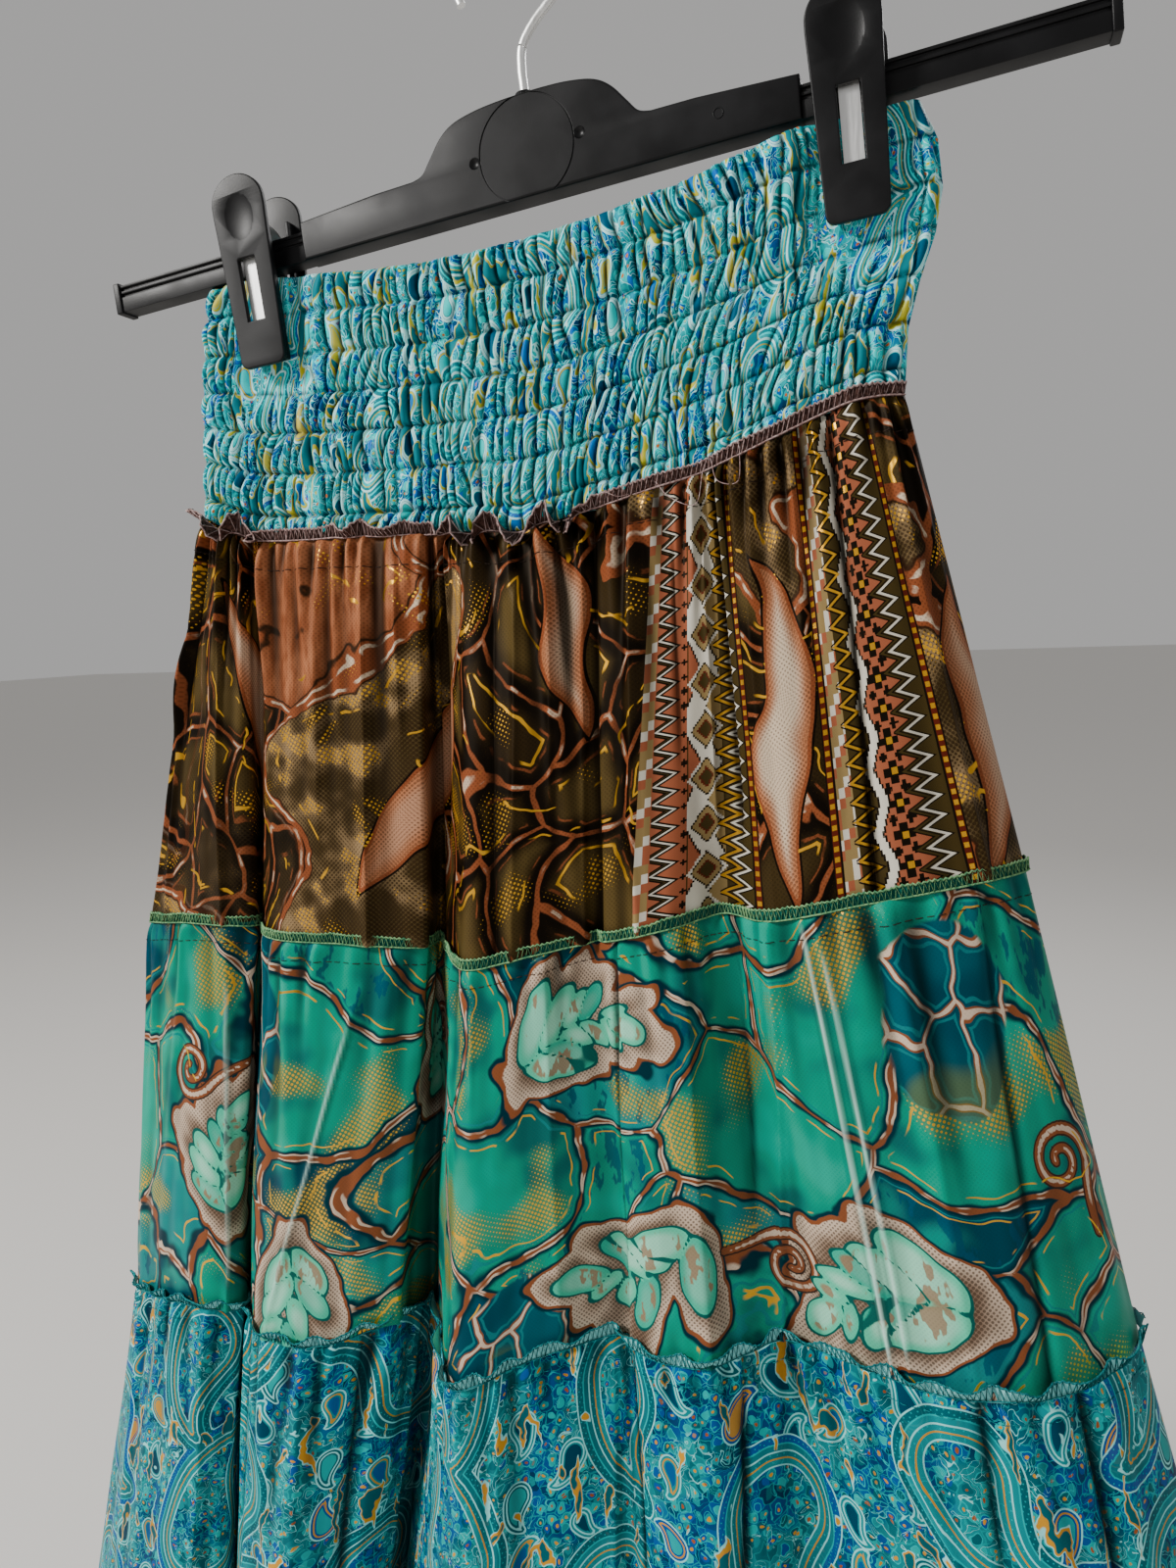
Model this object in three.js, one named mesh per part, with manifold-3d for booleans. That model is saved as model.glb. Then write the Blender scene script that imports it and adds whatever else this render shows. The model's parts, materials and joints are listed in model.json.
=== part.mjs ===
// A tiered, gathered skirt with a shirred elastic waistband, hung from a black clip hanger.
// Millimetres, +Z up, +X to the right of the skirt's front, +Y towards its back.
// The origin is the inside top of the hanger's hook, along the hanger's centre line.
import * as THREE from 'three';
import { mergeVertices, mergeGeometries } from 'three/addons/utils/BufferGeometryUtils.js';
import Module from 'manifold-3d';

const wasm = await Module();
wasm.setup();

// ---------------------------------------------------------------- driving sizes
const HANGER_TILT = THREE.MathUtils.degToRad(4.6); // right end of the hanger hangs higher
const HOOK_SEAT = 91.4;        // inside top of the hook above the bar's middle
const BAR_DEPTH = 10;          // front to back of the moulded bar
const BODY_HALF = 92.4;        // half length of the plain middle of the hanger
const BAR_HALF = 184.6;        // half length over the ribbed ends
const DISC_D = 35.6;           // round pad in the middle of the hanger
const DIMPLE_X = 19.7;
const WIRE_D = 3.2;            // hook wire
const HOOK_R = 20;             // inside radius of the hook
const CLIP_X = [-114.1, 108.2];// middle of each clip along the bar
const CLIP_W_TOP = 22, CLIP_W_BOT = 18.8, CLIP_TOP = 25.4, CLIP_BOT = -42;
const CLIP_PLATE = 2.2;        // thickness of a clip arm's plate
const CLIP_FACE = -5.8;        // front of the arm at its lower end, from the bar's front face
const CLIP_LEAN = 0.04;        // the arms spread towards their grips
const JAW_GAP = 3.6;           // jaw face from the middle plane of the cloth
const WALL = 1.2;              // cloth wall
const SEAM = 0.18;            // each piece stops this far from a seam

// ---------------------------------------------------------------- cloth tables
// Each row is one fold line running down the skirt: its place at the waist seam (w),
// at the first tier seam (a), at the second tier seam (b) and at the hem (h).
const FOLD_COLUMNS = ['fold', 'wx', 'wy', 'wz', 'ax', 'ay', 'az', 'bx', 'by', 'bz', 'hx', 'hy', 'hz'];
const FRONT_FOLDS = [
  ['left side',    -145, 0, -196, -193, 0, -370, -223, 0, -551, -274, 0, -736],
  ['lobe a crest', -129, -7, -202, -156, -17, -364, -168, -30, -535, -198, -44, -724],
  ['lobe a edge',  -119, -7, -206, -129, -15, -364, -145, -25, -536, -170, -34, -722],
  ['valley ab',    -115, -5, -207, -131, -5, -366, -152, -7, -538, -178, -8, -725],
  ['lobe b edge',  -109, -7, -208, -115, -20, -367, -130, -33, -538, -152, -46, -725],
  ['lobe b crest',  -77, -8, -209,  -81, -24, -366,  -97, -39, -534, -122, -52, -722],
  ['lobe b back',   -42, -7, -210,  -48, -17, -367,  -68, -25, -526,  -97, -34, -716],
  ['valley bc',     -33, -5, -210,  -45,  -5, -368,  -58,  -7, -527,  -92,  -8, -715],
  ['lobe c edge',   -22, -7, -210,  -21, -31, -370,  -26, -51, -528,  -38, -62, -713],
  ['lobe c crest',   -1, -8, -211,    3, -28, -364,    2, -44, -515,   -3, -54, -706],
  ['lobe c back',    25, -7, -206,   27, -19, -359,   36, -30, -507,   42, -38, -700],
  ['lobe d edge',    30, -7, -205,   32, -23, -358,   40, -35, -508,   48, -44, -700],
  ['lobe d crest',   51, -8, -200,   54, -24, -352,   68, -42, -505,   84, -52, -697],
  ['lobe d valley',  67, -6, -196,   72, -12, -348,   94, -27, -499,  118, -32, -692],
  ['lobe e edge',    77, -8, -193,   90, -23, -347,  119, -35, -497,  148, -44, -690],
  ['lobe e crest',   98, -8, -185,  121, -26, -339,  152, -43, -496,  186, -50, -687],
  ['lobe e back',   119, -7, -178,  151, -19, -333,  185, -34, -494,  226, -38, -684],
  ['right side',    132, 0, -177,  171, 0, -331,  210, 0, -491,  262, 0, -681],
];
const BACK_FOLDS = [
  ['back crest 1',  118, 7, -179,  148, 17, -333,  184, 30, -494,  224, 38, -684],
  ['back crest 2',   94, 8, -186,  120, 24, -339,  152, 40, -497,  188, 51, -688],
  ['back valley 1',  66, 5, -196,   94,  7, -345,  120,  9, -501,  150, 10, -692],
  ['back crest 3',   42, 8, -202,   60, 27, -351,   80, 43, -505,  102, 54, -697],
  ['back valley 2',  14, 6, -206,   28,  9, -357,   40, 14, -510,   54, 16, -702],
  ['back crest 4',  -12, 8, -210,   -4, 24, -363,    2, 41, -516,    4, 52, -707],
  ['back valley 3', -38, 5, -210,  -38,  7, -367,  -46,  9, -524,  -58, 10, -714],
  ['back crest 5',  -66, 8, -209,  -74, 28, -367,  -92, 45, -531, -114, 56, -720],
  ['back valley 4', -96, 5, -208, -108,  8, -366, -130, 11, -537, -160, 13, -726],
  ['back crest 6', -124, 7, -203, -154, 18, -365, -182, 33, -541, -226, 42, -731],
];
// Shirred band: side edges down its height.
const BAND_ROWS = [
  { down: 0.00, left: -131, right: 136.0 },
  { down: 0.14, left: -135, right: 141.5 },
  { down: 0.30, left: -138, right: 143.0 },
  { down: 0.45, left: -140, right: 141.0 },
  { down: 0.60, left: -141, right: 136.5 },
  { down: 0.76, left: -142, right: 133.0 },
  { down: 1.00, left: -145, right: 132.0 },
];
const BAND_TOP = { left: [-131, -109.5], right: [132, -90.5], sag: 12.5, sagMiddle: -4, sagHalf: 104 };
const BAND_PUFFS = 7;          // puffs between the lines of elastic
const BAND_PUFF = 1.5;         // how far a puff stands out
const BAND_HALF_DEPTH = 7.4;   // half of the flattened band's depth between the clips
const TIER_ROWS = 4;           // rows of facets down a tier
const FOLD_STEPS = 2;          // facets between two fold lines

// ---------------------------------------------------------------- small helpers
const smooth = (a, b, x) => { const t = Math.min(1, Math.max(0, (x - a) / (b - a))); return t * t * (3 - 2 * t); };
const mix = (a, b, t) => a + (b - a) * t;
const fold = (row) => Object.fromEntries(FOLD_COLUMNS.map((name, i) => [name, row[i]]));
const FOLDS = [...FRONT_FOLDS, ...BACK_FOLDS].map(fold);
const FRONT_SPAN = FRONT_FOLDS.length - 1;          // intervals across the front
const BACK_SPAN = BACK_FOLDS.length + 1;            // intervals across the back

// A closed line through the fold lines at one level; u counts fold lines from the left side.
function ringLine(level) {
  const points = FOLDS.map((f) => new THREE.Vector3(f[level + 'x'], f[level + 'y'], f[level + 'z']));
  const curve = new THREE.CatmullRomCurve3(points, true, 'centripetal');
  return (u) => curve.getPoint((u / FOLDS.length) % 1);
}
const LINE = { w: ringLine('w'), a: ringLine('a'), b: ringLine('b'), h: ringLine('h') };

// Builds a closed wall from a grid of outer points (rows down, columns across),
// moved inwards by the wall thickness square to the column line.
function wall(grid, isFront) {
  const rows = grid.length, cols = grid[0].length;
  const inner = grid.map((line) => line.map((p, c) => {
    const before = line[Math.max(0, c - 1)], after = line[Math.min(cols - 1, c + 1)];
    const run = new THREE.Vector2(after.x - before.x, after.y - before.y).normalize();
    if (c === 0) run.set(0, isFront ? -1 : 1);            // the side folds turn straight back
    if (c === cols - 1) run.set(0, isFront ? 1 : -1);
    return new THREE.Vector3(p.x - run.y * WALL, p.y + run.x * WALL, p.z);
  }));
  const vertices = [], index = [];
  for (const side of [grid, inner]) for (const line of side) for (const p of line) vertices.push(p.x, p.y, p.z);
  const at = (s, r, c) => s * rows * cols + r * cols + c;
  const quad = (a, b, c, d) => index.push(a, b, c, a, c, d);
  for (let r = 0; r < rows - 1; r++) for (let c = 0; c < cols - 1; c++) {
    quad(at(0, r, c), at(0, r + 1, c), at(0, r + 1, c + 1), at(0, r, c + 1));
    quad(at(1, r, c), at(1, r, c + 1), at(1, r + 1, c + 1), at(1, r + 1, c));
  }
  for (let c = 0; c < cols - 1; c++) {
    quad(at(0, 0, c), at(0, 0, c + 1), at(1, 0, c + 1), at(1, 0, c));
    quad(at(0, rows - 1, c), at(1, rows - 1, c), at(1, rows - 1, c + 1), at(0, rows - 1, c + 1));
  }
  for (let r = 0; r < rows - 1; r++) {
    quad(at(0, r, 0), at(1, r, 0), at(1, r + 1, 0), at(0, r + 1, 0));
    quad(at(0, r, cols - 1), at(0, r + 1, cols - 1), at(1, r + 1, cols - 1), at(1, r, cols - 1));
  }
  const geometry = new THREE.BufferGeometry();
  geometry.setAttribute('position', new THREE.Float32BufferAttribute(vertices, 3));
  geometry.setIndex(index);
  return geometry;
}

// Columns of a front or back piece, stopped short of the side seams.
function columns(isFront) {
  const start = isFront ? 0 : FRONT_SPAN, span = isFront ? FRONT_SPAN : BACK_SPAN;
  const list = [];
  for (let i = 0; i <= span * FOLD_STEPS; i++) list.push(start + i / FOLD_STEPS);
  return list;
}
function trimSides(line) {
  const pull = (p, q) => p.clone().add(q.clone().sub(p).setLength(SEAM * 1.4));
  const last = line.length - 1;
  const first = pull(line[0], line[1]), end = pull(line[last], line[last - 1]);
  return [first, ...line.slice(1, last), end];
}

// A tier between two seam lines; its folds deepen quickly below the gathers.
function tier(isFront, upper, lower, deepen) {
  const grid = [];
  for (let r = 0; r <= TIER_ROWS; r++) {
    const t = r / TIER_ROWS;
    const trim = r === 0 ? -SEAM : r === TIER_ROWS ? SEAM : 0;
    grid.push(trimSides(columns(isFront).map((u) => {
      const p = LINE[upper](u), q = LINE[lower](u);
      return new THREE.Vector3(mix(p.x, q.x, t), mix(p.y, q.y, Math.pow(t, deepen)), mix(p.z, q.z, t) + trim);
    })));
  }
  return wall(grid, isFront);
}

// The shirred band: flat between the clips' jaws, rounded at its two side folds.
function bandSide(down, key) {
  const i = Math.min(BAND_ROWS.length - 2, BAND_ROWS.findLastIndex((row) => row.down <= down));
  const a = BAND_ROWS[i], b = BAND_ROWS[i + 1];
  return mix(a[key], b[key], (down - a.down) / (b.down - a.down));
}
function bandTop(x) {
  const { left, right, sag, sagMiddle, sagHalf } = BAND_TOP;
  const line = left[1] + (right[1] - left[1]) * (x - left[0]) / (right[0] - left[0]);
  return line - sag * Math.max(0, 1 - ((x - sagMiddle) / sagHalf) ** 2);
}
// Each clip's middle and lower end, in the skirt's own frame.
const cosT = Math.cos(HANGER_TILT), sinT = Math.sin(HANGER_TILT);
const clipAt = CLIP_X.map((x) => {
  const z = CLIP_BOT - HOOK_SEAT;
  return { x: cosT * x - sinT * z, z: sinT * x + cosT * z };
});
function band(isFront) {
  const grid = [], rows = BAND_PUFFS * 2;
  const wLeft = FOLDS[0].wx, wRight = FOLDS[FRONT_SPAN].wx;
  for (let r = 0; r <= rows; r++) {
    const down = r / rows;
    const trim = r === rows ? SEAM : 0;
    const left = bandSide(down, 'left'), right = bandSide(down, 'right');
    grid.push(trimSides(columns(isFront).map((u) => {
      const seam = LINE.w(u);
      const across = (seam.x - wLeft) / (wRight - wLeft);
      const x = mix(left, right, across);
      const z = mix(bandTop(x), seam.z, down);
      const edge = Math.min(1, Math.abs(across * 2 - 1));
      let half = BAND_HALF_DEPTH * Math.sqrt(Math.max(0, 1 - edge ** 8));
      let pinch = 0;
      for (const clip of clipAt) {
        const near = 1 - smooth(10.5, 25, Math.abs(x - clip.x));
        pinch = Math.max(pinch, near * smooth(clip.z - 26, clip.z - 4, z));
      }
      const puff = r % 2 === 1 ? BAND_PUFF : 0;
      half = mix(half + puff * Math.min(1, half / 4), Math.min(half, 3.2), pinch);
      const y = mix((seam.y < 0 || (seam.y === 0 && isFront) ? -1 : 1) * half, seam.y, smooth(0.8, 1, down));
      return new THREE.Vector3(x, Math.abs(seam.y) < 1e-6 ? 0 : y, z + trim);
    })));
  }
  return wall(grid, isFront);
}

// ---------------------------------------------------------------- hanger
function toSolid(geometry) {
  const g = geometry.clone();
  g.deleteAttribute('normal');
  g.deleteAttribute('uv');
  const merged = mergeVertices(g, 1e-4);
  return new wasm.Manifold(new wasm.Mesh({
    numProp: 3,
    vertProperties: new Float32Array(merged.attributes.position.array),
    triVerts: new Uint32Array(merged.index.array),
  }));
}
function fromSolid(solid) {
  const mesh = solid.getMesh();
  const geometry = new THREE.BufferGeometry();
  geometry.setAttribute('position', new THREE.Float32BufferAttribute(Array.from(mesh.vertProperties), 3));
  geometry.setIndex(Array.from(mesh.triVerts));
  return geometry;
}
// A front outline (X, Z) made into a plate from y0 to y1.
function plate(shape, y0, y1, bevel = 0, curve = 8) {
  const g = new THREE.ExtrudeGeometry(shape, {
    depth: y1 - y0 - 2 * bevel, bevelEnabled: bevel > 0, bevelThickness: bevel, bevelSize: bevel,
    bevelOffset: -bevel, bevelSegments: 1, curveSegments: curve,
  });
  g.translate(0, 0, -(y1 - y0) / 2 + bevel);
  g.rotateX(Math.PI / 2);
  g.translate(0, (y0 + y1) / 2, 0);
  return g;
}
const block = (x0, x1, y0, y1, z0, z1) => {
  const g = new THREE.BoxGeometry(x1 - x0, y1 - y0, z1 - z0);
  g.translate((x0 + x1) / 2, (y0 + y1) / 2, (z0 + z1) / 2);
  return g;
};

// Half outline of the hanger's middle, from its end to its centre.
const BODY_TOP = [
  { x: BODY_HALF, z: 5.6 }, { x: 60, z: 7.6 }, { x: 44, z: 7.9 }, { x: 40, z: 9.4 }, { x: 36.5, z: 13.5 },
  { x: 31.5, z: 19.4 }, { x: 26, z: 22.8 }, { x: 17.5, z: 24.6 }, { x: 0, z: 25.4 },
];
const BODY_UNDER = -6.2;
function hangerBar() {
  const outline = new THREE.Shape();
  outline.moveTo(-BODY_HALF, BODY_UNDER);
  outline.lineTo(BODY_HALF, BODY_UNDER);
  for (const p of BODY_TOP) outline.lineTo(p.x, p.z);
  for (const p of BODY_TOP.slice(0, -1).reverse()) outline.lineTo(-p.x, p.z);
  outline.closePath();
  let solid = toSolid(plate(outline, 0, BAR_DEPTH, 0.8));
  const drum = (x, z, r, y0, y1, n) => {
    const g = new THREE.CylinderGeometry(r, r, y1 - y0, n);
    g.translate(x, (y0 + y1) / 2, z);
    return toSolid(g);
  };
  solid = solid.subtract(drum(0, 8.3, DISC_D / 2, -1, 0.4, 40));
  for (const side of [-1, 1]) solid = solid.subtract(drum(side * DIMPLE_X, 8.3, 1.3, -1, 0.9, 12));
  const nub = new THREE.CylinderGeometry(3.4, 4.2, 5, 16);
  nub.rotateX(Math.PI / 2);
  nub.translate(0, BAR_DEPTH / 2, 25.4);
  solid = solid.add(toSolid(nub));
  // Ribbed ends: two fine grooves above one broad ridge, closed by an upright end plate.
  const rib = new THREE.Shape();
  const profile = [
    [1.3, -6.8], [9.2, -6.8], [9.2, 3.4], [1.3, 3.4], [1.3, 2.4], [2.1, 2.2], [2.1, 1.3],
    [1.3, 1.1], [1.3, 0.1], [2.1, -0.1], [2.1, -1.0], [1.3, -1.2],
  ];
  profile.forEach(([y, z], i) => (i ? rib.lineTo(y, z) : rib.moveTo(y, z)));
  rib.closePath();
  for (const side of [-1, 1]) {
    const length = BAR_HALF - 2 - (BODY_HALF - 2);
    const g = new THREE.ExtrudeGeometry(rib, { depth: length, bevelEnabled: false });
    const m = new THREE.Matrix4().makeBasis(new THREE.Vector3(0, 1, 0), new THREE.Vector3(0, 0, 1), new THREE.Vector3(1, 0, 0));
    g.applyMatrix4(m);
    g.translate(side > 0 ? BODY_HALF - 2 : -(BAR_HALF - 2), 0, 0);
    solid = solid.add(toSolid(g));
    const x0 = side > 0 ? BAR_HALF - 3 : -BAR_HALF;
    solid = solid.add(toSolid(block(x0, x0 + 3, 0.6, 9.8, -7.4, 4.4)));
  }
  return fromSolid(solid);
}

function hook() {
  const y = BAR_DEPTH / 2, r = HOOK_R + WIRE_D / 2, cz = HOOK_SEAT - HOOK_R;
  const points = [new THREE.Vector3(0, y, 28.3), new THREE.Vector3(0, y, 36), new THREE.Vector3(1.2, y, 43), new THREE.Vector3(6.5, y, 49.3)];
  for (let a = -50; a <= 205; a += 17) {
    const t = THREE.MathUtils.degToRad(a);
    points.push(new THREE.Vector3(r * Math.cos(t), y, cz + r * Math.sin(t)));
  }
  const path = new THREE.CatmullRomCurve3(points, false, 'centripetal');
  const section = new THREE.Shape();
  for (let i = 0; i < 10; i++) {
    const t = (i / 10) * Math.PI * 2;
    const u = (WIRE_D / 2) * Math.cos(t), v = (WIRE_D / 2) * Math.sin(t);
    if (i) section.lineTo(u, v); else section.moveTo(u, v);
  }
  section.closePath();
  return new THREE.ExtrudeGeometry(section, { steps: 44, extrudePath: path, bevelEnabled: false });
}

// A clip arm: a tapered plate with a round grip, a window, side walls and a jaw bar.
const WINDOW = { w: 8.4, z0: -27, z1: -2.5 };
function clipArm(isFront) {
  const s = new THREE.Shape();
  const wt = CLIP_W_TOP / 2, wb = CLIP_W_BOT / 2, shoulder = 18.3, rim = CLIP_TOP;
  s.moveTo(-wb + 2.5, CLIP_BOT);
  s.lineTo(wb - 2.5, CLIP_BOT);
  s.quadraticCurveTo(wb, CLIP_BOT, wb + 0.1, CLIP_BOT + 2.5);
  s.lineTo(wt, shoulder);
  s.quadraticCurveTo(wt, rim, 2.5, rim);
  s.lineTo(-2.5, rim);
  s.quadraticCurveTo(-wt, rim, -wt, shoulder);
  s.lineTo(-wb - 0.1, CLIP_BOT + 2.5);
  s.quadraticCurveTo(-wb, CLIP_BOT, -wb + 2.5, CLIP_BOT);
  const y0 = CLIP_FACE, y1 = CLIP_FACE + CLIP_PLATE;
  let solid = toSolid(plate(s, y0, y1, 0.6, 6));
  solid = solid.subtract(toSolid(block(-WINDOW.w / 2, WINDOW.w / 2, y0 - 1, y1 + 1, WINDOW.z0, WINDOW.z1)));
  for (const side of [-1, 1]) {
    const x = side * 8.6;
    solid = solid.add(toSolid(block(Math.min(x, x - side * 1.6), Math.max(x, x - side * 1.6), y1 - 0.4, 0.6, CLIP_BOT + 1.5, 14)));
  }
  solid = solid.add(toSolid(block(-8.6, 8.6, y1 - 0.4, BAR_DEPTH / 2 - JAW_GAP - 0.6, CLIP_BOT + 1.2, CLIP_BOT + 7)));
  const g = fromSolid(solid);
  // lean the arm outwards towards its grip, keeping the jaw where it is
  const p = g.attributes.position;
  for (let i = 0; i < p.count; i++) {
    const y = p.getY(i) - CLIP_LEAN * Math.max(0, p.getZ(i) - (CLIP_BOT + 7));
    p.setY(i, isFront ? y : BAR_DEPTH - y);
  }
  if (!isFront) { // mirrored: turn the faces back outwards
    const index = g.index.array;
    for (let i = 0; i < index.length; i += 3) { const k = index[i]; index[i] = index[i + 1]; index[i + 1] = k; }
  }
  return g;
}
// A steel strip bent over the bar, its legs pressing the arms together behind their windows.
function clipSpring() {
  const t = 0.7, wide = 6.4, mid = BAR_DEPTH / 2, foot = -29, top = 6.5;
  const halfAt = (z) => mid - (CLIP_FACE + CLIP_PLATE - CLIP_LEAN * Math.max(0, z - (CLIP_BOT + 7))) - 0.4;
  const run = [];
  for (const z of [foot, -12, top]) run.push([halfAt(z), z]);
  const r = halfAt(top);
  for (let a = 15; a <= 165; a += 15) run.push([r * Math.cos(THREE.MathUtils.degToRad(a)), top + 0.55 * r * Math.sin(THREE.MathUtils.degToRad(a))]);
  for (const z of [top, -12, foot]) run.push([-halfAt(z), z]);
  const outer = run.map(([y, z]) => new THREE.Vector2(y + mid, z));
  const innerLine = outer.map((p, i) => {
    const a = outer[Math.max(0, i - 1)], b = outer[Math.min(outer.length - 1, i + 1)];
    const d = b.clone().sub(a).normalize();
    return new THREE.Vector2(p.x - d.y * t, p.y + d.x * t);
  });
  const s = new THREE.Shape([...outer, ...innerLine.reverse()]);
  const g = new THREE.ExtrudeGeometry(s, { depth: wide, bevelEnabled: false });
  g.applyMatrix4(new THREE.Matrix4().makeBasis(new THREE.Vector3(0, 1, 0), new THREE.Vector3(0, 0, 1), new THREE.Vector3(1, 0, 0)));
  g.translate(-wide / 2, 0, 0);
  return g;
}

// ---------------------------------------------------------------- the object
const part = new THREE.Group();
const finish = {
  paisley: { color: 0x2a97a8, roughness: 0.7 },
  brown: { color: 0x4a3020, roughness: 0.65 },
  teal: { color: 0x14806f, roughness: 0.6 },
  plastic: { color: 0x17171a, roughness: 0.5 },
  steel: { color: 0xc8cacc, roughness: 0.3, metalness: 1 },
};
function add(parent, name, geometry, look) {
  const g = geometry.index ? geometry.toNonIndexed() : geometry;
  g.deleteAttribute('uv');
  g.deleteAttribute('normal');
  const closed = mergeVertices(g, 1e-4);
  closed.computeVertexNormals();
  const mesh = new THREE.Mesh(closed, new THREE.MeshStandardMaterial(finish[look]));
  mesh.name = name;
  parent.add(mesh);
  return mesh;
}
for (const [side, isFront] of [['front', true], ['back', false]]) {
  add(part, `waistband_${side}`, band(isFront), 'paisley');
  add(part, `tier1_${side}`, tier(isFront, 'w', 'a', 0.7), 'brown');
  add(part, `tier2_${side}`, tier(isFront, 'a', 'b', 1.0), 'teal');
  add(part, `tier3_${side}`, tier(isFront, 'b', 'h', 0.85), 'paisley');
}
// The hanger is built level about its own middle, then tilted about the hook's seat.
const tilted = new THREE.Group();
tilted.rotation.y = -HANGER_TILT;
const hanger = new THREE.Group();
hanger.position.set(0, -BAR_DEPTH / 2, -HOOK_SEAT);
tilted.add(hanger);
part.add(tilted);
add(hanger, 'hanger_bar', hangerBar(), 'plastic');
add(hanger, 'hanger_hook', hook(), 'steel');
['left', 'right'].forEach((side, i) => {
  const clip = new THREE.Group();
  clip.position.x = CLIP_X[i];
  hanger.add(clip);
  add(clip, `clip_${side}_front_arm`, clipArm(true), 'plastic');
  add(clip, `clip_${side}_back_arm`, clipArm(false), 'plastic');
  add(clip, `clip_${side}_spring`, clipSpring(), 'steel');
});

export default part;
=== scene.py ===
import json
import math
import bpy
import numpy as np
from mathutils import Matrix, Vector

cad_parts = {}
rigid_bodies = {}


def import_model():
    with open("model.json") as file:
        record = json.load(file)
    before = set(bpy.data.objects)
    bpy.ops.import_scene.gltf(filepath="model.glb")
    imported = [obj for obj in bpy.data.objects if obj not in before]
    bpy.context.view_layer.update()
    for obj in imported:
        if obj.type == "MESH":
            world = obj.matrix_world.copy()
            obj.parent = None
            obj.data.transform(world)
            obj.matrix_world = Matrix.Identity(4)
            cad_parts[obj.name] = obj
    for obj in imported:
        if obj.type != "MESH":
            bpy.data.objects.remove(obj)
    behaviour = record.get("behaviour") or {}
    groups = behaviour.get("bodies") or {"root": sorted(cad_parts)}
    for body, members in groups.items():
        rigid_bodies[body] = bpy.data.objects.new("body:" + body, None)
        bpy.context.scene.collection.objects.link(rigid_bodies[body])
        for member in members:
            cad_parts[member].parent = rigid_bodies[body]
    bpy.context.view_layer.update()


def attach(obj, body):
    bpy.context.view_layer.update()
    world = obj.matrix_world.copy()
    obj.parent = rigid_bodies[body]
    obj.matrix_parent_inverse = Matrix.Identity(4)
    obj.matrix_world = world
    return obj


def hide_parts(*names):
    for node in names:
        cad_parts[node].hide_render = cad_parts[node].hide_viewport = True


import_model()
MM = 0.001

# ------------------------------------------------------------------ fold tables
# Millimetres. One row a fold line: its place at the waist seam, the two tier seams and the hem.
FRONT_FOLDS = np.array([
    [-145, 0, -196, -193, 0, -370, -223, 0, -551, -274, 0, -736],        # left side
    [-129, -7, -202, -156, -17, -364, -168, -30, -535, -198, -44, -724],  # lobe a crest
    [-119, -7, -206, -129, -15, -364, -145, -25, -536, -170, -34, -722],  # lobe a edge
    [-115, -5, -207, -131, -5, -366, -152, -7, -538, -178, -8, -725],     # valley ab
    [-109, -7, -208, -115, -20, -367, -130, -33, -538, -152, -46, -725],  # lobe b edge
    [-77, -8, -209, -81, -24, -366, -97, -39, -534, -122, -52, -722],     # lobe b crest
    [-42, -7, -210, -48, -17, -367, -68, -25, -526, -97, -34, -716],      # lobe b back
    [-33, -5, -210, -45, -5, -368, -58, -7, -527, -92, -8, -715],         # valley bc
    [-22, -7, -210, -21, -31, -370, -26, -51, -528, -38, -62, -713],      # lobe c edge
    [-1, -8, -211, 3, -28, -364, 2, -44, -515, -3, -54, -706],            # lobe c crest
    [25, -7, -206, 27, -19, -359, 36, -30, -507, 42, -38, -700],          # lobe c back
    [30, -7, -205, 32, -23, -358, 40, -35, -508, 48, -44, -700],          # lobe d edge
    [51, -8, -200, 54, -24, -352, 68, -42, -505, 84, -52, -697],          # lobe d crest
    [67, -6, -196, 72, -12, -348, 94, -27, -499, 118, -32, -692],         # lobe d valley
    [77, -8, -193, 90, -23, -347, 119, -35, -497, 148, -44, -690],        # lobe e edge
    [98, -8, -185, 121, -26, -339, 152, -43, -496, 186, -50, -687],       # lobe e crest
    [119, -7, -178, 151, -19, -333, 185, -34, -494, 226, -38, -684],      # lobe e back
    [132, 0, -177, 171, 0, -331, 210, 0, -491, 262, 0, -681],             # right side
], float)
BACK_FOLDS = np.array([
    [118, 7, -179, 148, 17, -333, 184, 30, -494, 224, 38, -684],
    [94, 8, -186, 120, 24, -339, 152, 40, -497, 188, 51, -688],
    [66, 5, -196, 94, 7, -345, 120, 9, -501, 150, 10, -692],
    [42, 8, -202, 60, 27, -351, 80, 43, -505, 102, 54, -697],
    [14, 6, -206, 28, 9, -357, 40, 14, -510, 54, 16, -702],
    [-12, 8, -210, -4, 24, -363, 2, 41, -516, 4, 52, -707],
    [-38, 5, -210, -38, 7, -367, -46, 9, -524, -58, 10, -714],
    [-66, 8, -209, -74, 28, -367, -92, 45, -531, -114, 56, -720],
    [-96, 5, -208, -108, 8, -366, -130, 11, -537, -160, 13, -726],
    [-124, 7, -203, -154, 18, -365, -182, 33, -541, -226, 42, -731],
], float)
FOLDS = np.vstack([FRONT_FOLDS, BACK_FOLDS])
N_LINES = len(FOLDS)
FRONT_SPAN = len(FRONT_FOLDS) - 1
BAND_DOWN = np.array([0.00, 0.14, 0.30, 0.45, 0.60, 0.76, 1.00])
BAND_LEFT = np.array([-131, -135, -138, -140, -141, -142, -145.0])
BAND_RIGHT = np.array([136, 141.5, 143, 141, 136.5, 133, 132.0])
ELASTIC = np.array([0.129, 0.285, 0.435, 0.586, 0.742, 0.903])  # rows of elastic down the band
TILT = math.radians(4.6)
SEAT = 91.4
CLIP_X = (-114.1, 108.2)
CLIP_BOT = -42.0


def smooth(a, b, x):
    t = np.clip((x - a) / (b - a), 0, 1)
    return t * t * (3 - 2 * t)


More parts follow.
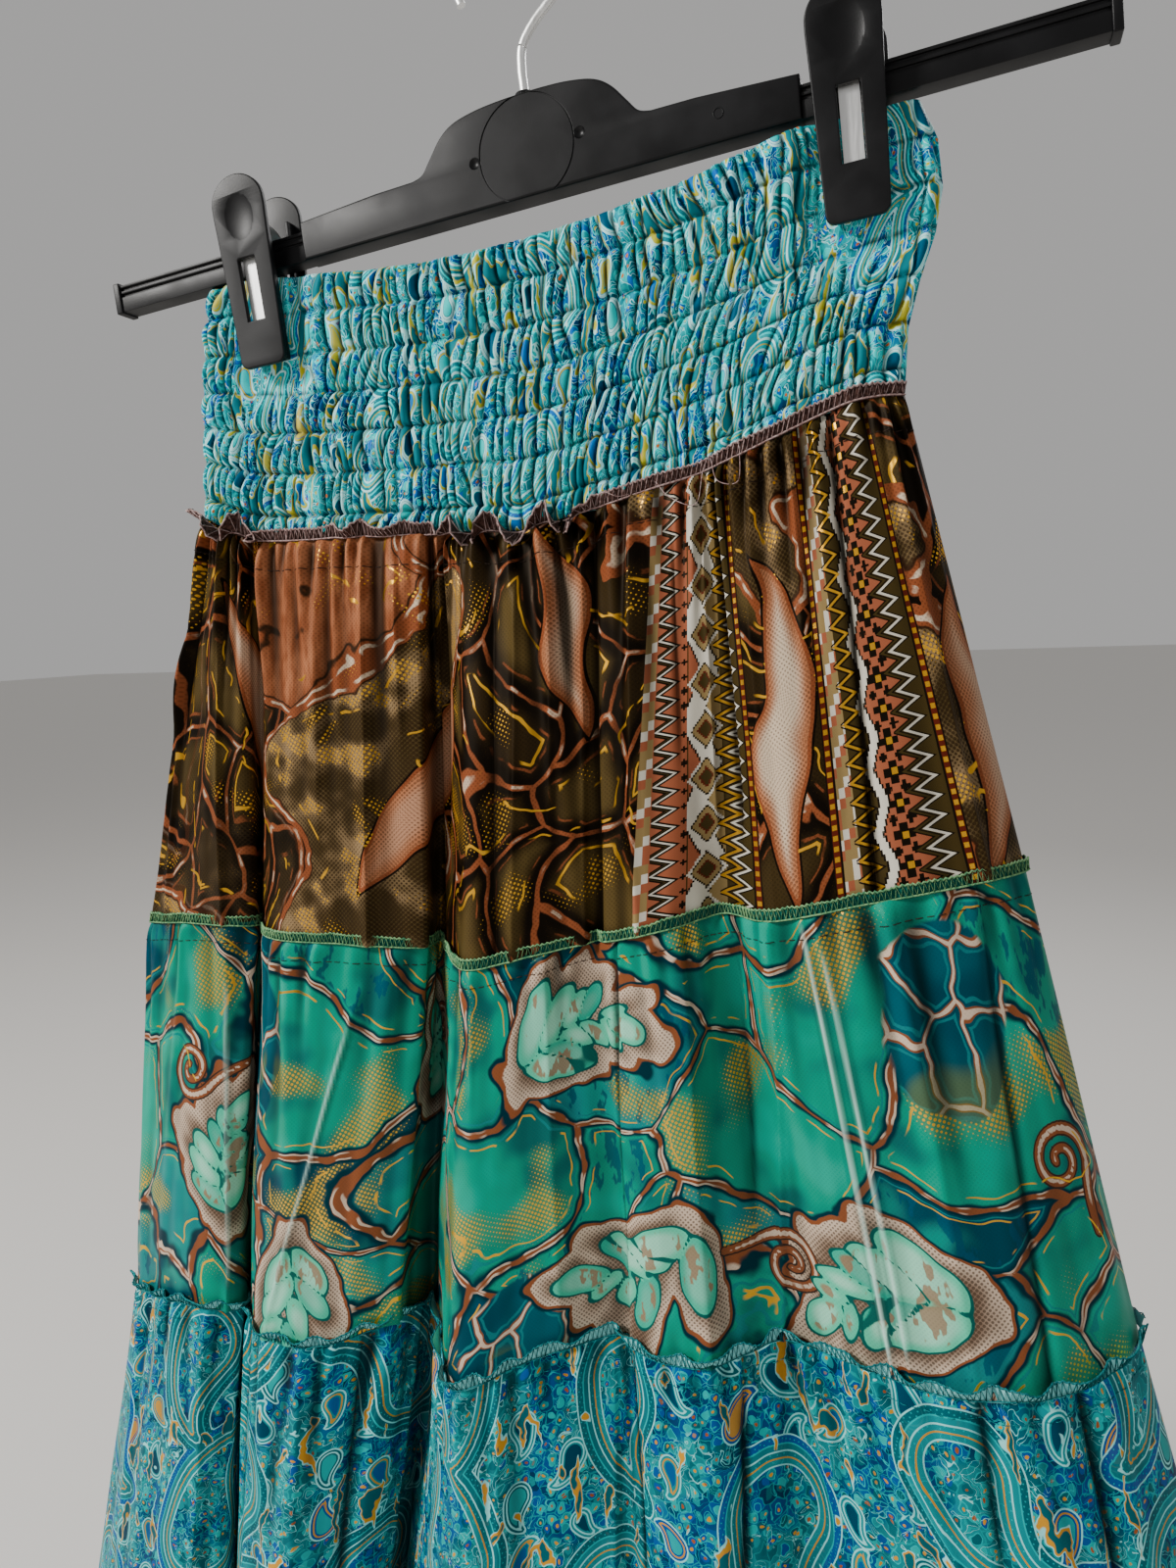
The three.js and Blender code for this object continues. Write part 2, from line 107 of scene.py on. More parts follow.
def catmull(points, u):
    """Closed centripetal spline through points, at u counted in points."""
    n = len(points)
    u = np.asarray(u, float)
    i = np.floor(u).astype(int)
    f = (u - i)[..., None]
    p0, p1, p2, p3 = (points[(i + k) % n] for k in (-1, 0, 1, 2))
    gap = lambda a, b: np.maximum(np.sum((a - b) ** 2, -1, keepdims=True) ** 0.25, 1e-4)
    d0, d1, d2 = gap(p0, p1), gap(p1, p2), gap(p2, p3)
    t1 = ((p1 - p0) / d0 - (p2 - p0) / (d0 + d1) + (p2 - p1) / d1) * d1
    t2 = ((p2 - p1) / d1 - (p3 - p1) / (d1 + d2) + (p3 - p2) / d2) * d1
    return p1 + f * (t1 + f * ((-3 * p1 + 3 * p2 - 2 * t1 - t2) + f * (2 * p1 - 2 * p2 + t1 + t2)))


LEVEL = {"w": FOLDS[:, 0:3], "a": FOLDS[:, 3:6], "b": FOLDS[:, 6:9], "h": FOLDS[:, 9:12]}


def line(level, u):
    return catmull(LEVEL[level], u)


class Run:
    """A front or back stretch of one level line, by share s of its own length."""

    def __init__(self, level, front):
        self.start, self.span = (0, FRONT_SPAN) if front else (FRONT_SPAN, N_LINES - FRONT_SPAN)
        self.u = self.start + np.linspace(0, self.span, 4001)
        p = line(level, self.u)
        self.arc = np.concatenate([[0], np.cumsum(np.linalg.norm(np.diff(p, axis=0), axis=1))])
        self.length = self.arc[-1]
        self.x = p[:, 0]

    def u_of(self, s):
        return np.interp(np.asarray(s) * self.length, self.arc, self.u)

    def s_of_u(self, u):
        return np.interp(u, self.u, self.arc) / self.length


# ------------------------------------------------------------------ seeded noise
def lattice(seed, n=64):
    return np.random.RandomState(seed).rand(n, n)


def noise2(x, y, seed):
    g = lattice(seed)
    n = len(g)
    x, y = np.broadcast_arrays(np.asarray(x, float), np.asarray(y, float))
    i, j = np.floor(x).astype(int), np.floor(y).astype(int)
    fx, fy = x - i, y - j
    fx, fy = fx * fx * (3 - 2 * fx), fy * fy * (3 - 2 * fy)
    a, b = g[i % n, j % n], g[(i + 1) % n, j % n]
    c, d = g[i % n, (j + 1) % n], g[(i + 1) % n, (j + 1) % n]
    return (a * (1 - fx) + b * fx) * (1 - fy) + (c * (1 - fx) + d * fx) * fy


# ------------------------------------------------------------------ cloth surfaces
class Tier:
    """One gathered tier, front or back. s runs along it and t down it, both 0 to 1."""

    def __init__(self, upper, lower, front, deepen, seed, gathers, depth, reach, creases=(), glints=()):
        self.upper, self.lower, self.front, self.deepen = upper, lower, front, deepen
        self.run = Run(lower, front)
        self.width = self.run.length
        p, q = line(upper, self.run.u), line(lower, self.run.u)
        self.height = float(np.mean(np.linalg.norm(p - q, axis=1)))
        self.creases, self.glints = creases, glints
        rng = np.random.RandomState(seed)
        self.pleats = []
        for i in range(gathers):
            gap = self.width / gathers
            self.pleats.append((
                (i + 0.5 + rng.uniform(-0.42, 0.42)) * gap,
                gap * rng.uniform(0.28, 0.62),
                depth * rng.uniform(0.45, 1.25),
                reach * rng.choice([0.45, 0.8, 1.4, 3.6], p=[0.32, 0.28, 0.2, 0.2]),
                rng.uniform(-0.10, 0.10),
            ))
        self.seed = seed

    def base(self, s, t):
        u = self.run.u_of(np.clip(s, 0, 1))
        p, q = line(self.upper, u), line(self.lower, u)
        t = np.asarray(t)[..., None]
        out = p + (q - p) * t
        deep = np.power(np.clip(t, 0, 1), self.deepen)
        out[..., 1:2] = p[..., 1:2] + (q[..., 1:2] - p[..., 1:2]) * deep
        return out

    def height_map(self, s, t):
        U, V = s * self.width, t * self.height
        h = np.zeros(np.broadcast(U, V).shape)
        for c, w, a, reach, drift in self.pleats:
            x = (U - c - drift * V) / (w * (1 + V / (5 * reach)))
            m = np.abs(x) < 3
            if m.any():
                xm, Vm = x[m], np.broadcast_to(V, h.shape)[m]
                h[m] += a * (1 - np.exp(-(Vm + 0.6) / 3.5)) * np.exp(-Vm / reach) * (1 - 0.9 * xm * xm) * np.exp(-xm * xm)
        # soft, uneven waves between the large folds
        h += 3.6 * (noise2(U / 19 + 3, V / 110, self.seed + 5) - 0.5) * smooth(0.05, 0.5, t)
        h += 1.1 * (noise2(U / 7 + 9, V / 60, self.seed + 6) - 0.5) * smooth(0.0, 0.3, t)
        # small puckers pulled by the seam below
        h += 0.7 * (noise2(U / 4.2, V / 14, self.seed + 7) - 0.5) * smooth(0.8, 1.0, t)
        for u0, u1, t0, t1, a, left, right in self.creases:
            uc = u0 + (u1 - u0) * t
            x = (s - self.run.s_of_u(uc)) * self.width + 1.2 * (noise2(V / 40, u0 * 3.1, self.seed + 8) - 0.5)
            soft = np.exp(-np.abs(x) / np.where(x < 0, left, right))
            upper = smooth(t0 - 0.12, t0 + 0.02, t) if t0 <= 0 else smooth(t0, t0 + 0.14, t)
            lower = 1 if t1 >= 1 else 1 - smooth(t1 - 0.2, t1, t)
            h += a * soft * upper * lower * (0.75 + 0.25 * smooth(0, 0.2, t))
        side = np.minimum(U, self.width - U)
        return h * smooth(0, 9, side)

    def glint_map(self, s, t):
        """Sharp pressed creases that catch the light: a painted highlight along each, and painted shade either side."""
        c = np.zeros(np.broadcast(s, t).shape)
        d = np.zeros(c.shape)
        for u0, u1, t0, t1, strength in self.glints:
            uc = u0 + (u1 - u0) * t
            x = (s - self.run.s_of_u(uc)) * self.width
            fade = smooth(t0, t0 + 0.08, t) * (1 - smooth(t1 - 0.08, t1, t))
            uneven = 0.6 + 0.4 * noise2(t * 9, u0 * 3, self.seed)
            c = np.maximum(c, strength * np.exp(-(x / 0.62) ** 2) * fade * uneven)
            d = np.maximum(d, strength * np.exp(-((np.abs(x) - 1.9) / 0.9) ** 2) * fade * uneven)
        return c, d

    def at(self, s, t, out=0.0):
        """Place on the cloth, moved out by out millimetres, and the outward normal."""
        s, t = np.broadcast_arrays(np.asarray(s, float), np.asarray(t, float))
        e = 0.0015
        down = self.base(s, t + 0.01) - self.base(s, t - 0.01)
        s0, s1 = np.clip(s - e, 0, 1), np.clip(s + e, 0, 1)
        across = self.base(s1, t) - self.base(s0, t)
        n = np.cross(down, across)
        n /= np.linalg.norm(n, axis=-1, keepdims=True)
        return self.base(s, t) + n * (self.height_map(s, t) + out)[..., None], n

    def flat(self, s, t):
        return np.stack(np.broadcast_arrays(s * self.width, t * self.height), -1)


class Band:
    """The shirred waistband, front or back."""

    PLEAT = 4.5   # width of a gather between two rows of elastic
    FULL = 1.5    # printed width that shows over gathered width

    def __init__(self, front, seed):
        self.front = front
        self.run = Run("w", front)
        self.width = self.run.length
        self.height = 95.0
        self.seed = seed
        self.clips = []
        for x in CLIP_X:
            z = CLIP_BOT - SEAT
            self.clips.append((math.cos(TILT) * x - math.sin(TILT) * z, math.sin(TILT) * x + math.cos(TILT) * z))

    def pinch(self, x, z):
        m = np.zeros(np.shape(x))
        for cx, cz in self.clips:
            near = 1 - smooth(10.5, 25, np.abs(x - cx))
            m = np.maximum(m, near * smooth(cz - 26, cz - 4, z))
        return m

    def base(self, s, v):
        s, v = np.broadcast_arrays(np.asarray(s, float), np.asarray(v, float))
        u = self.run.u_of(np.clip(s, 0, 1))
        seam = line("w", u)
        across = (seam[..., 0] + 145) / (132 + 145)
        left, right = np.interp(v, BAND_DOWN, BAND_LEFT), np.interp(v, BAND_DOWN, BAND_RIGHT)
        x = left + (right - left) * across
        top = -109.5 + 19.0 * (x + 131) / 263 - 12.5 * np.maximum(0, 1 - ((x + 4) / 104) ** 2)
        z = top + (seam[..., 2] - top) * v
        edge = np.clip(np.abs(across * 2 - 1), 0, 1)
        half = 7.4 * np.sqrt(np.maximum(0, 1 - edge ** 8))
        pin = self.pinch(x, z)
        half = half * (1 - pin) + np.minimum(half, 2.6) * pin
        sign = -1 if self.front else 1
        k = smooth(0.8, 1.0, v)
        y = sign * half * (1 - k) + seam[..., 1] * k
        return np.stack([x, y, z], -1)

    def height_map(self, s, v):
        s, v = np.broadcast_arrays(np.asarray(s, float), np.asarray(v, float))
        P = self.base(s, v)
        pin = self.pinch(P[..., 0], P[..., 2])
        rows = np.concatenate([[0], ELASTIC, [1]])
        k = np.clip(np.searchsorted(rows, v, side="right") - 1, 0, len(rows) - 2)
        tau = (v - rows[k]) / (rows[k + 1] - rows[k])
        puff = np.sin(np.pi * np.clip(tau, 0, 1)) ** 0.5
        q = s * self.width / self.PLEAT
        warp = 1.9 * (noise2(q * 0.33, v * 3.5, self.seed) - 0.5) + 0.8 * (noise2(q * 0.9 + 7, v * 7, self.seed + 1) - 0.5)
        h = np.abs(np.sin(np.pi * (q + warp))) ** 0.58
        strength = 0.55 + 0.9 * noise2(q * 0.8 + 3, k * 0.73 + v * 2, self.seed + 2)
        dist = np.min(np.abs(v[..., None] - ELASTIC), -1) * self.height
        row = np.exp(-(dist / 1.1) ** 2)
        out = (0.35 + 0.65 * puff) * h * 2.8 * strength + 1.3 * puff - 1.1 * row * (1 - 0.3 * h) - 1.8
        # the casing frill stands free above the first row
        frill = 1 - smooth(0.0, 0.11, v)
        out += frill * 1.5 * (noise2(q * 0.55, v * 3, self.seed + 3) - 0.4)
        # pulls fan out below the clips
        for cx, cz in self.clips:
            dx, dz = P[..., 0] - cx, P[..., 2] - (cz - 2)
            r = np.hypot(dx, dz)
            ang = np.arctan2(dx, -dz)
            fan = np.cos(ang * 9 + cx) * np.exp(-((r - 16) / 14) ** 2) * smooth(1.75, 1.1, np.abs(ang)) * smooth(3, 9, r)
            out = out + 1.1 * fan
        out = out * (1 - pin) + pin * (0.25 * h - 0.2)
        side = np.minimum(s, 1 - s) * self.width
        return out * smooth(0, 5, side)

    def rows_map(self, s, v):
        # dark elastic rows broken into dashes: the stitching, and painted shade in the dips between the puffs
        q = s * self.width / self.PLEAT
        dist = np.min(np.abs(v[..., None] + 0.006 * (noise2(q * 0.5, v * 3, self.seed + 9)[..., None] - 0.5) - ELASTIC), -1) * self.height
        return np.exp(-(dist / 0.8) ** 2) * (0.45 + 0.55 * (noise2(q * 2.1, v * 40, self.seed + 8) > 0.42))

    def at(self, s, v, out=0.0):
        s, v = np.broadcast_arrays(np.asarray(s, float), np.asarray(v, float))
        e = 0.002
        down = self.base(s, np.clip(v + 0.01, 0, 1)) - self.base(s, np.clip(v - 0.01, 0, 1))
        across = self.base(np.clip(s + e, 0, 1), v) - self.base(np.clip(s - e, 0, 1), v)
        n = np.cross(down, across)
        n /= np.linalg.norm(n, axis=-1, keepdims=True)
        return self.base(s, v) + n * (self.height_map(s, v) + out)[..., None], n

    def flat(self, s, v):
        return np.stack(np.broadcast_arrays(s * self.width * self.FULL, v * self.height), -1)


# ------------------------------------------------------------------ motif fields
def teardrops(U, V, pitch_x, pitch_y, size, seed, turn=0.5):
    """Distance to the nearest curled teardrop, in millimetres, its chance number and place along its spine."""
    rng = np.random.RandomState(seed)
    best = np.full(U.shape, 1e3)
    num, along = np.zeros(U.shape), np.zeros(U.shape)
    steps = 16
    nx, ny = int(U.max() / pitch_x) + 3, int(V.max() / pitch_y) + 3
    for i in range(-1, nx):
        for j in range(-1, ny):
            cx = (i + 0.5 + rng.uniform(-0.12, 0.12)) * pitch_x
            cy = (j + (0.5 if i % 2 else 0.0) + rng.uniform(-0.1, 0.1)) * pitch_y
            big = size * rng.uniform(0.82, 1.18)
            flip = 1 if (i + j) % 2 else -1
            lean = rng.uniform(-turn, turn) + (math.pi if (i + 2 * j) % 3 == 0 else 0)
            idn = rng.rand()
            m = (np.abs(U - cx) < big * 1.3) & (np.abs(V - cy) < big * 1.3)
            if not m.any():
                continue
            x, y = U[m] - cx, V[m] - cy
            x, y = x * math.cos(lean) + y * math.sin(lean), -x * math.sin(lean) + y * math.cos(lean)
            x = x * flip
            px, py, head = 0.0, 0.0, math.pi / 2
            for k in range(steps + 1):
                f = k / steps
                r = big * 0.27 * (1 - f) ** 0.8 + 0.5
                d = np.hypot(x - px, y - py) - r
                better = d < best[m]
                cur, nn, al = best[m], num[m], along[m]
                cur[better], nn[better], al[better] = d[better], idn, f
                best[m], num[m], along[m] = cur, nn, al
                head -= math.radians(11.5) * f
                px += big * 0.78 / steps * math.cos(head)
                py += big * 0.78 / steps * math.sin(head)
    return best, num, along


def lenses(U, V, rows):
    """Distance to the nearest of a few pointed petals: (x, y, half length, half width, degrees)."""
    best = np.full(U.shape, 1e3)
    num = np.zeros(U.shape)
    for k, (cx, cy, a, b, deg) in enumerate(rows):
        c, s = math.cos(math.radians(deg)), math.sin(math.radians(deg))
        x, y = (U - cx) * c + (V - cy) * s, -(U - cx) * s + (V - cy) * c
        y = y - 0.35 * b * (x / a) ** 2
        r = (a * a + b * b) / (2 * b)
        d = np.hypot(x, np.abs(y) + r - b) - r
        m = d < best
        best[m], num[m] = d[m], (k * 0.37) % 1
    return best, num


def ovals(U, V, rows):
    """Distance to the nearest of a few ovals (x, y, half length, half width, degrees), and how much further the next one is."""
    best = np.full(U.shape, 1e3)
    second = np.full(U.shape, 1e3)
    num = np.zeros(U.shape)
    for k, (cx, cy, a, b, deg) in enumerate(rows):
        c, s = math.cos(math.radians(deg)), math.sin(math.radians(deg))
        x, y = (U - cx) * c + (V - cy) * s, -(U - cx) * s + (V - cy) * c
        d = (np.hypot(x / a, y / b) - 1) * min(a, b)
        m = d < best
        second = np.where(m, best, np.minimum(second, d))
        best[m], num[m] = d[m], (k * 0.37) % 1
    return best, num, np.clip(second - best, 0, 50)


# ------------------------------------------------------------------ meshes
def collection_add(obj):
    bpy.context.scene.collection.objects.link(obj)
    return obj


def mesh_object(name, verts, faces, attrs=None, flat_shade=False):
    """verts in millimetres (n, 3); faces (m, 4) or (m, 3)."""
    me = bpy.data.meshes.new(name)
    verts = np.asarray(verts, float).reshape(-1, 3) * MM
    faces = np.asarray(faces, np.int32)
    n, k = faces.shape
    me.vertices.add(len(verts))
    me.vertices.foreach_set("co", verts.ravel())
    me.loops.add(n * k)
    me.loops.foreach_set("vertex_index", faces.ravel())
    me.polygons.add(n)
    me.polygons.foreach_set("loop_start", np.arange(0, n * k, k, dtype=np.int32))
    me.polygons.foreach_set("loop_total", np.full(n, k, dtype=np.int32))
    me.polygons.foreach_set("use_smooth", np.full(n, not flat_shade))
    me.update(calc_edges=True)
    for key, data in (attrs or {}).items():
        a = me.attributes.new(key, "FLOAT_VECTOR", "POINT")
        a.data.foreach_set("vector", np.asarray(data, float).reshape(-1, 3).ravel())
    me.validate()
    return collection_add(bpy.data.objects.new(name, me))


def grid_faces(rows, cols, offset=0):
    r, c = np.meshgrid(np.arange(rows - 1), np.arange(cols - 1), indexing="ij")
    a = (r * cols + c).ravel() + offset
    return np.stack([a, a + cols, a + cols + 1, a + 1], 1)


def tube(points, radius, sides=5, taper=True):
    """A thin closed tube along points (n, 3)."""
    p = np.asarray(points, float)
    n = len(p)
    tan = np.gradient(p, axis=0)
    tan /= np.linalg.norm(tan, axis=1, keepdims=True) + 1e-9
    ref = np.where(np.abs(tan[:, 2:3]) < 0.9, [[0, 0, 1.0]], [[1.0, 0, 0]])
    a = np.cross(tan, ref)
    a /= np.linalg.norm(a, axis=1, keepdims=True) + 1e-9
    b = np.cross(tan, a)
    ang = np.arange(sides) / sides * 2 * np.pi
    ring = a[:, None] * np.cos(ang)[None, :, None] + b[:, None] * np.sin(ang)[None, :, None]
    rad = np.full(n, float(radius))
    verts = (p[:, None] + ring * rad[:, None, None]).reshape(-1, 3)
    faces = []
    for i in range(n - 1):
        for k in range(sides):
            q = (k + 1) % sides
            faces.append((i * sides + k, i * sides + q, (i + 1) * sides + q, (i + 1) * sides + k))
    c0, c1 = len(verts), len(verts) + 1
    verts = np.vstack([verts, p[:1], p[-1:]])
    for k in range(sides):
        q = (k + 1) % sides
        faces.append((c0, q, k, k))
        faces.append((c1, (n - 1) * sides + k, (n - 1) * sides + q, (n - 1) * sides + q))
    return verts, faces


def joined(name, parts):
    """One mesh of many small tubes or grids: [(verts, faces)]."""
    me = bpy.data.meshes.new(name)
    vs, fs, o = [], [], 0
    for v, f in parts:
        vs.append(np.asarray(v))
        for q in f:
            q = tuple(int(i) + o for i in dict.fromkeys(q))
            fs.append(q)
        o += len(v)
    me.from_pydata((np.vstack(vs) * MM).tolist(), [], fs)
    me.polygons.foreach_set("use_smooth", np.full(len(me.polygons), True))
    me.update()
    return collection_add(bpy.data.objects.new(name, me))


# ------------------------------------------------------------------ shader graphs
class Sock:
    """A socket that can be used in sums."""

    def __init__(self, g, s):
        self.g, self.s = g, s

    def __add__(self, o):
        return self.g.math("ADD", self, o)

    __radd__ = __add__

    def __sub__(self, o):
        return self.g.math("SUBTRACT", self, o)

    def __rsub__(self, o):
        return self.g.math("SUBTRACT", o, self)

    def __mul__(self, o):
        return self.g.math("MULTIPLY", self, o)

    __rmul__ = __mul__

    def __truediv__(self, o):
        return self.g.math("DIVIDE", self, o)


class Graph:
    def __init__(self, name):
        self.mat = bpy.data.materials.new(name)
        self.mat.use_nodes = True
        self.nt = self.mat.node_tree
        self.bsdf = next(n for n in self.nt.nodes if n.type == "BSDF_PRINCIPLED")

    def put(self, sock, value):
        if isinstance(value, Sock):
            self.nt.links.new(value.s, sock)
        elif hasattr(value, "__len__"):
            sock.default_value = (*value, 1)[: len(sock.default_value)]
        elif hasattr(sock.default_value, "__len__"):
            sock.default_value = (value,) * 3
        else:
            sock.default_value = value

    def node(self, kind, ins=None, **props):
        n = self.nt.nodes.new(kind)
        for k, v in props.items():
            setattr(n, k, v)
        for k, v in (ins or {}).items():
            self.put(n.inputs[k], v)
        return n

    def math(self, op, a, b=None, c=None, clamp=False):
        n = self.node("ShaderNodeMath", operation=op, use_clamp=clamp)
        for i, v in enumerate((a, b, c)):
            if v is not None:
                self.put(n.inputs[i], v)
        return Sock(self, n.outputs[0])

    def attr(self, name):
        n = self.node("ShaderNodeAttribute", attribute_name=name)
        return Sock(self, n.outputs["Vector"])

    def split(self, v):
        n = self.node("ShaderNodeSeparateXYZ", {0: v})
        return [Sock(self, o) for o in n.outputs]

    def join(self, x, y, z=0.0):
        n = self.node("ShaderNodeCombineXYZ", {0: x, 1: y, 2: z})
        return Sock(self, n.outputs[0])

    def step(self, a, b, x, low=0.0, high=1.0):
        n = self.node("ShaderNodeMapRange", {"Value": x, 1: a, 2: b, 3: low, 4: high}, interpolation_type="SMOOTHSTEP")
        return Sock(self, n.outputs[0])

    def mix(self, f, a, b, blend="MIX"):
        n = self.node("ShaderNodeMix", data_type="RGBA", blend_type=blend)
        self.put(n.inputs[0], f)
        self.put(n.inputs[6], a)
        self.put(n.inputs[7], b)
        return Sock(self, n.outputs[2])

    def blendf(self, f, a, b):
        n = self.node("ShaderNodeMix", data_type="FLOAT")
        self.put(n.inputs[0], f)
        self.put(n.inputs[2], a)
        self.put(n.inputs[3], b)
        return Sock(self, n.outputs[0])

    def noise(self, vec, scale, detail=2.0, rough=0.5, distort=0.0, color=False):
        n = self.node("ShaderNodeTexNoise", {"Vector": vec, "Scale": scale, "Detail": detail, "Roughness": rough, "Distortion": distort}, noise_dimensions="2D")
        return Sock(self, n.outputs[1 if color else 0])

    def voronoi(self, vec, scale, feature="F1", random=1.0):
        n = self.node("ShaderNodeTexVoronoi", {"Vector": vec, "Scale": scale, "Randomness": random}, voronoi_dimensions="2D", feature=feature)
        return Sock(self, n.outputs["Distance"]), (Sock(self, n.outputs["Color"]) if feature == "F1" else None)

    def ramp(self, f, stops, constant=False):
        n = self.node("ShaderNodeValToRGB", {0: f})
        r = n.color_ramp
        r.interpolation = "CONSTANT" if constant else "LINEAR"
        while len(r.elements) < len(stops):
            r.elements.new(0.5)
        for e, (p, c) in zip(r.elements, stops):
            e.position, e.color = p, (*c, 1)
        return Sock(self, n.outputs[0])

    def absv(self, x):
        return self.math("ABSOLUTE", x)

    def frac(self, x):
        return self.math("FRACT", x)

    def tri(self, x):
        """Triangle wave from -1 to 1."""
        return self.absv(self.frac(x) - 0.5) * 4.0 - 1.0

    def line(self, d, half, soft=0.18):
        """1 where d is within half of 0."""
        return self.step(half, half + soft, self.absv(d), 1.0, 0.0)

    def under(self, d, level, soft=0.18):
        return self.step(level - soft / 2, level + soft / 2, d, 1.0, 0.0)

    def over(self, d, level, soft=0.18):
        return self.step(level - soft / 2, level + soft / 2, d, 0.0, 1.0)

    def both(self, *xs):
        out = xs[0]
        for x in xs[1:]:
            out = self.math("MULTIPLY", out, x)
        return out

    def either(self, *xs):
        out = xs[0]
        for x in xs[1:]:
            out = self.math("MAXIMUM", out, x)
        return out

    def dots(self, U, V, pitch, radius, turn=0.6, soft=0.12):
        c, s = math.cos(turn), math.sin(turn)
        a = self.frac((U * c + V * s) / pitch) - 0.5
        b = self.frac((V * c - U * s) / pitch) - 0.5
        d = self.math("SQRT", a * a + b * b) * pitch
        if isinstance(radius, Sock):
            return self.step(-soft / 2, soft / 2, radius - d, 0.0, 1.0)
        return self.step(radius - soft / 2, radius + soft / 2, d, 1.0, 0.0)

    def finish(self, color, rough, metal=0.0, bump=None, strength=0.3, distance=0.0004, sheen=0.0, spec=0.5, tint=(1, 1, 1)):
        b = self.bsdf
        self.put(b.inputs["Base Color"], color)
        self.put(b.inputs["Roughness"], rough)
        self.put(b.inputs["Metallic"], metal)
        self.put(b.inputs["Specular IOR Level"], spec)
        b.inputs["Specular Tint"].default_value = (*tint, 1)
        if sheen:
            b.inputs["Sheen Weight"].default_value = sheen
            b.inputs["Sheen Roughness"].default_value = 0.4
        if bump is not None:
            n = self.node("ShaderNodeBump", {"Strength": strength, "Distance": distance, "Height": bump})
            self.put(b.inputs["Normal"], Sock(self, n.outputs[0]))
        return self.mat


def weave(g, U, V):
    """Fine twill relief."""
    a = g.math("SINE", (U + V) * 9.0)
    b = g.math("SINE", (U - V) * 9.0)
    return a * 0.5 + b * 0.5


DEEP = (0.0, 0.026, 0.070)
BLUE = (0.0, 0.075, 0.290)
TEAL = (0.0, 0.105, 0.130)
AQUA = (0.0, 0.235, 0.260)
MINT = (0.0, 0.380, 0.370)
CREAM = (0.290, 0.790, 0.780)
PALE = (0.0, 0.430, 0.440)
GOLD = (0.620, 0.290, 0.020)
RUST = (0.330, 0.085, 0.020)


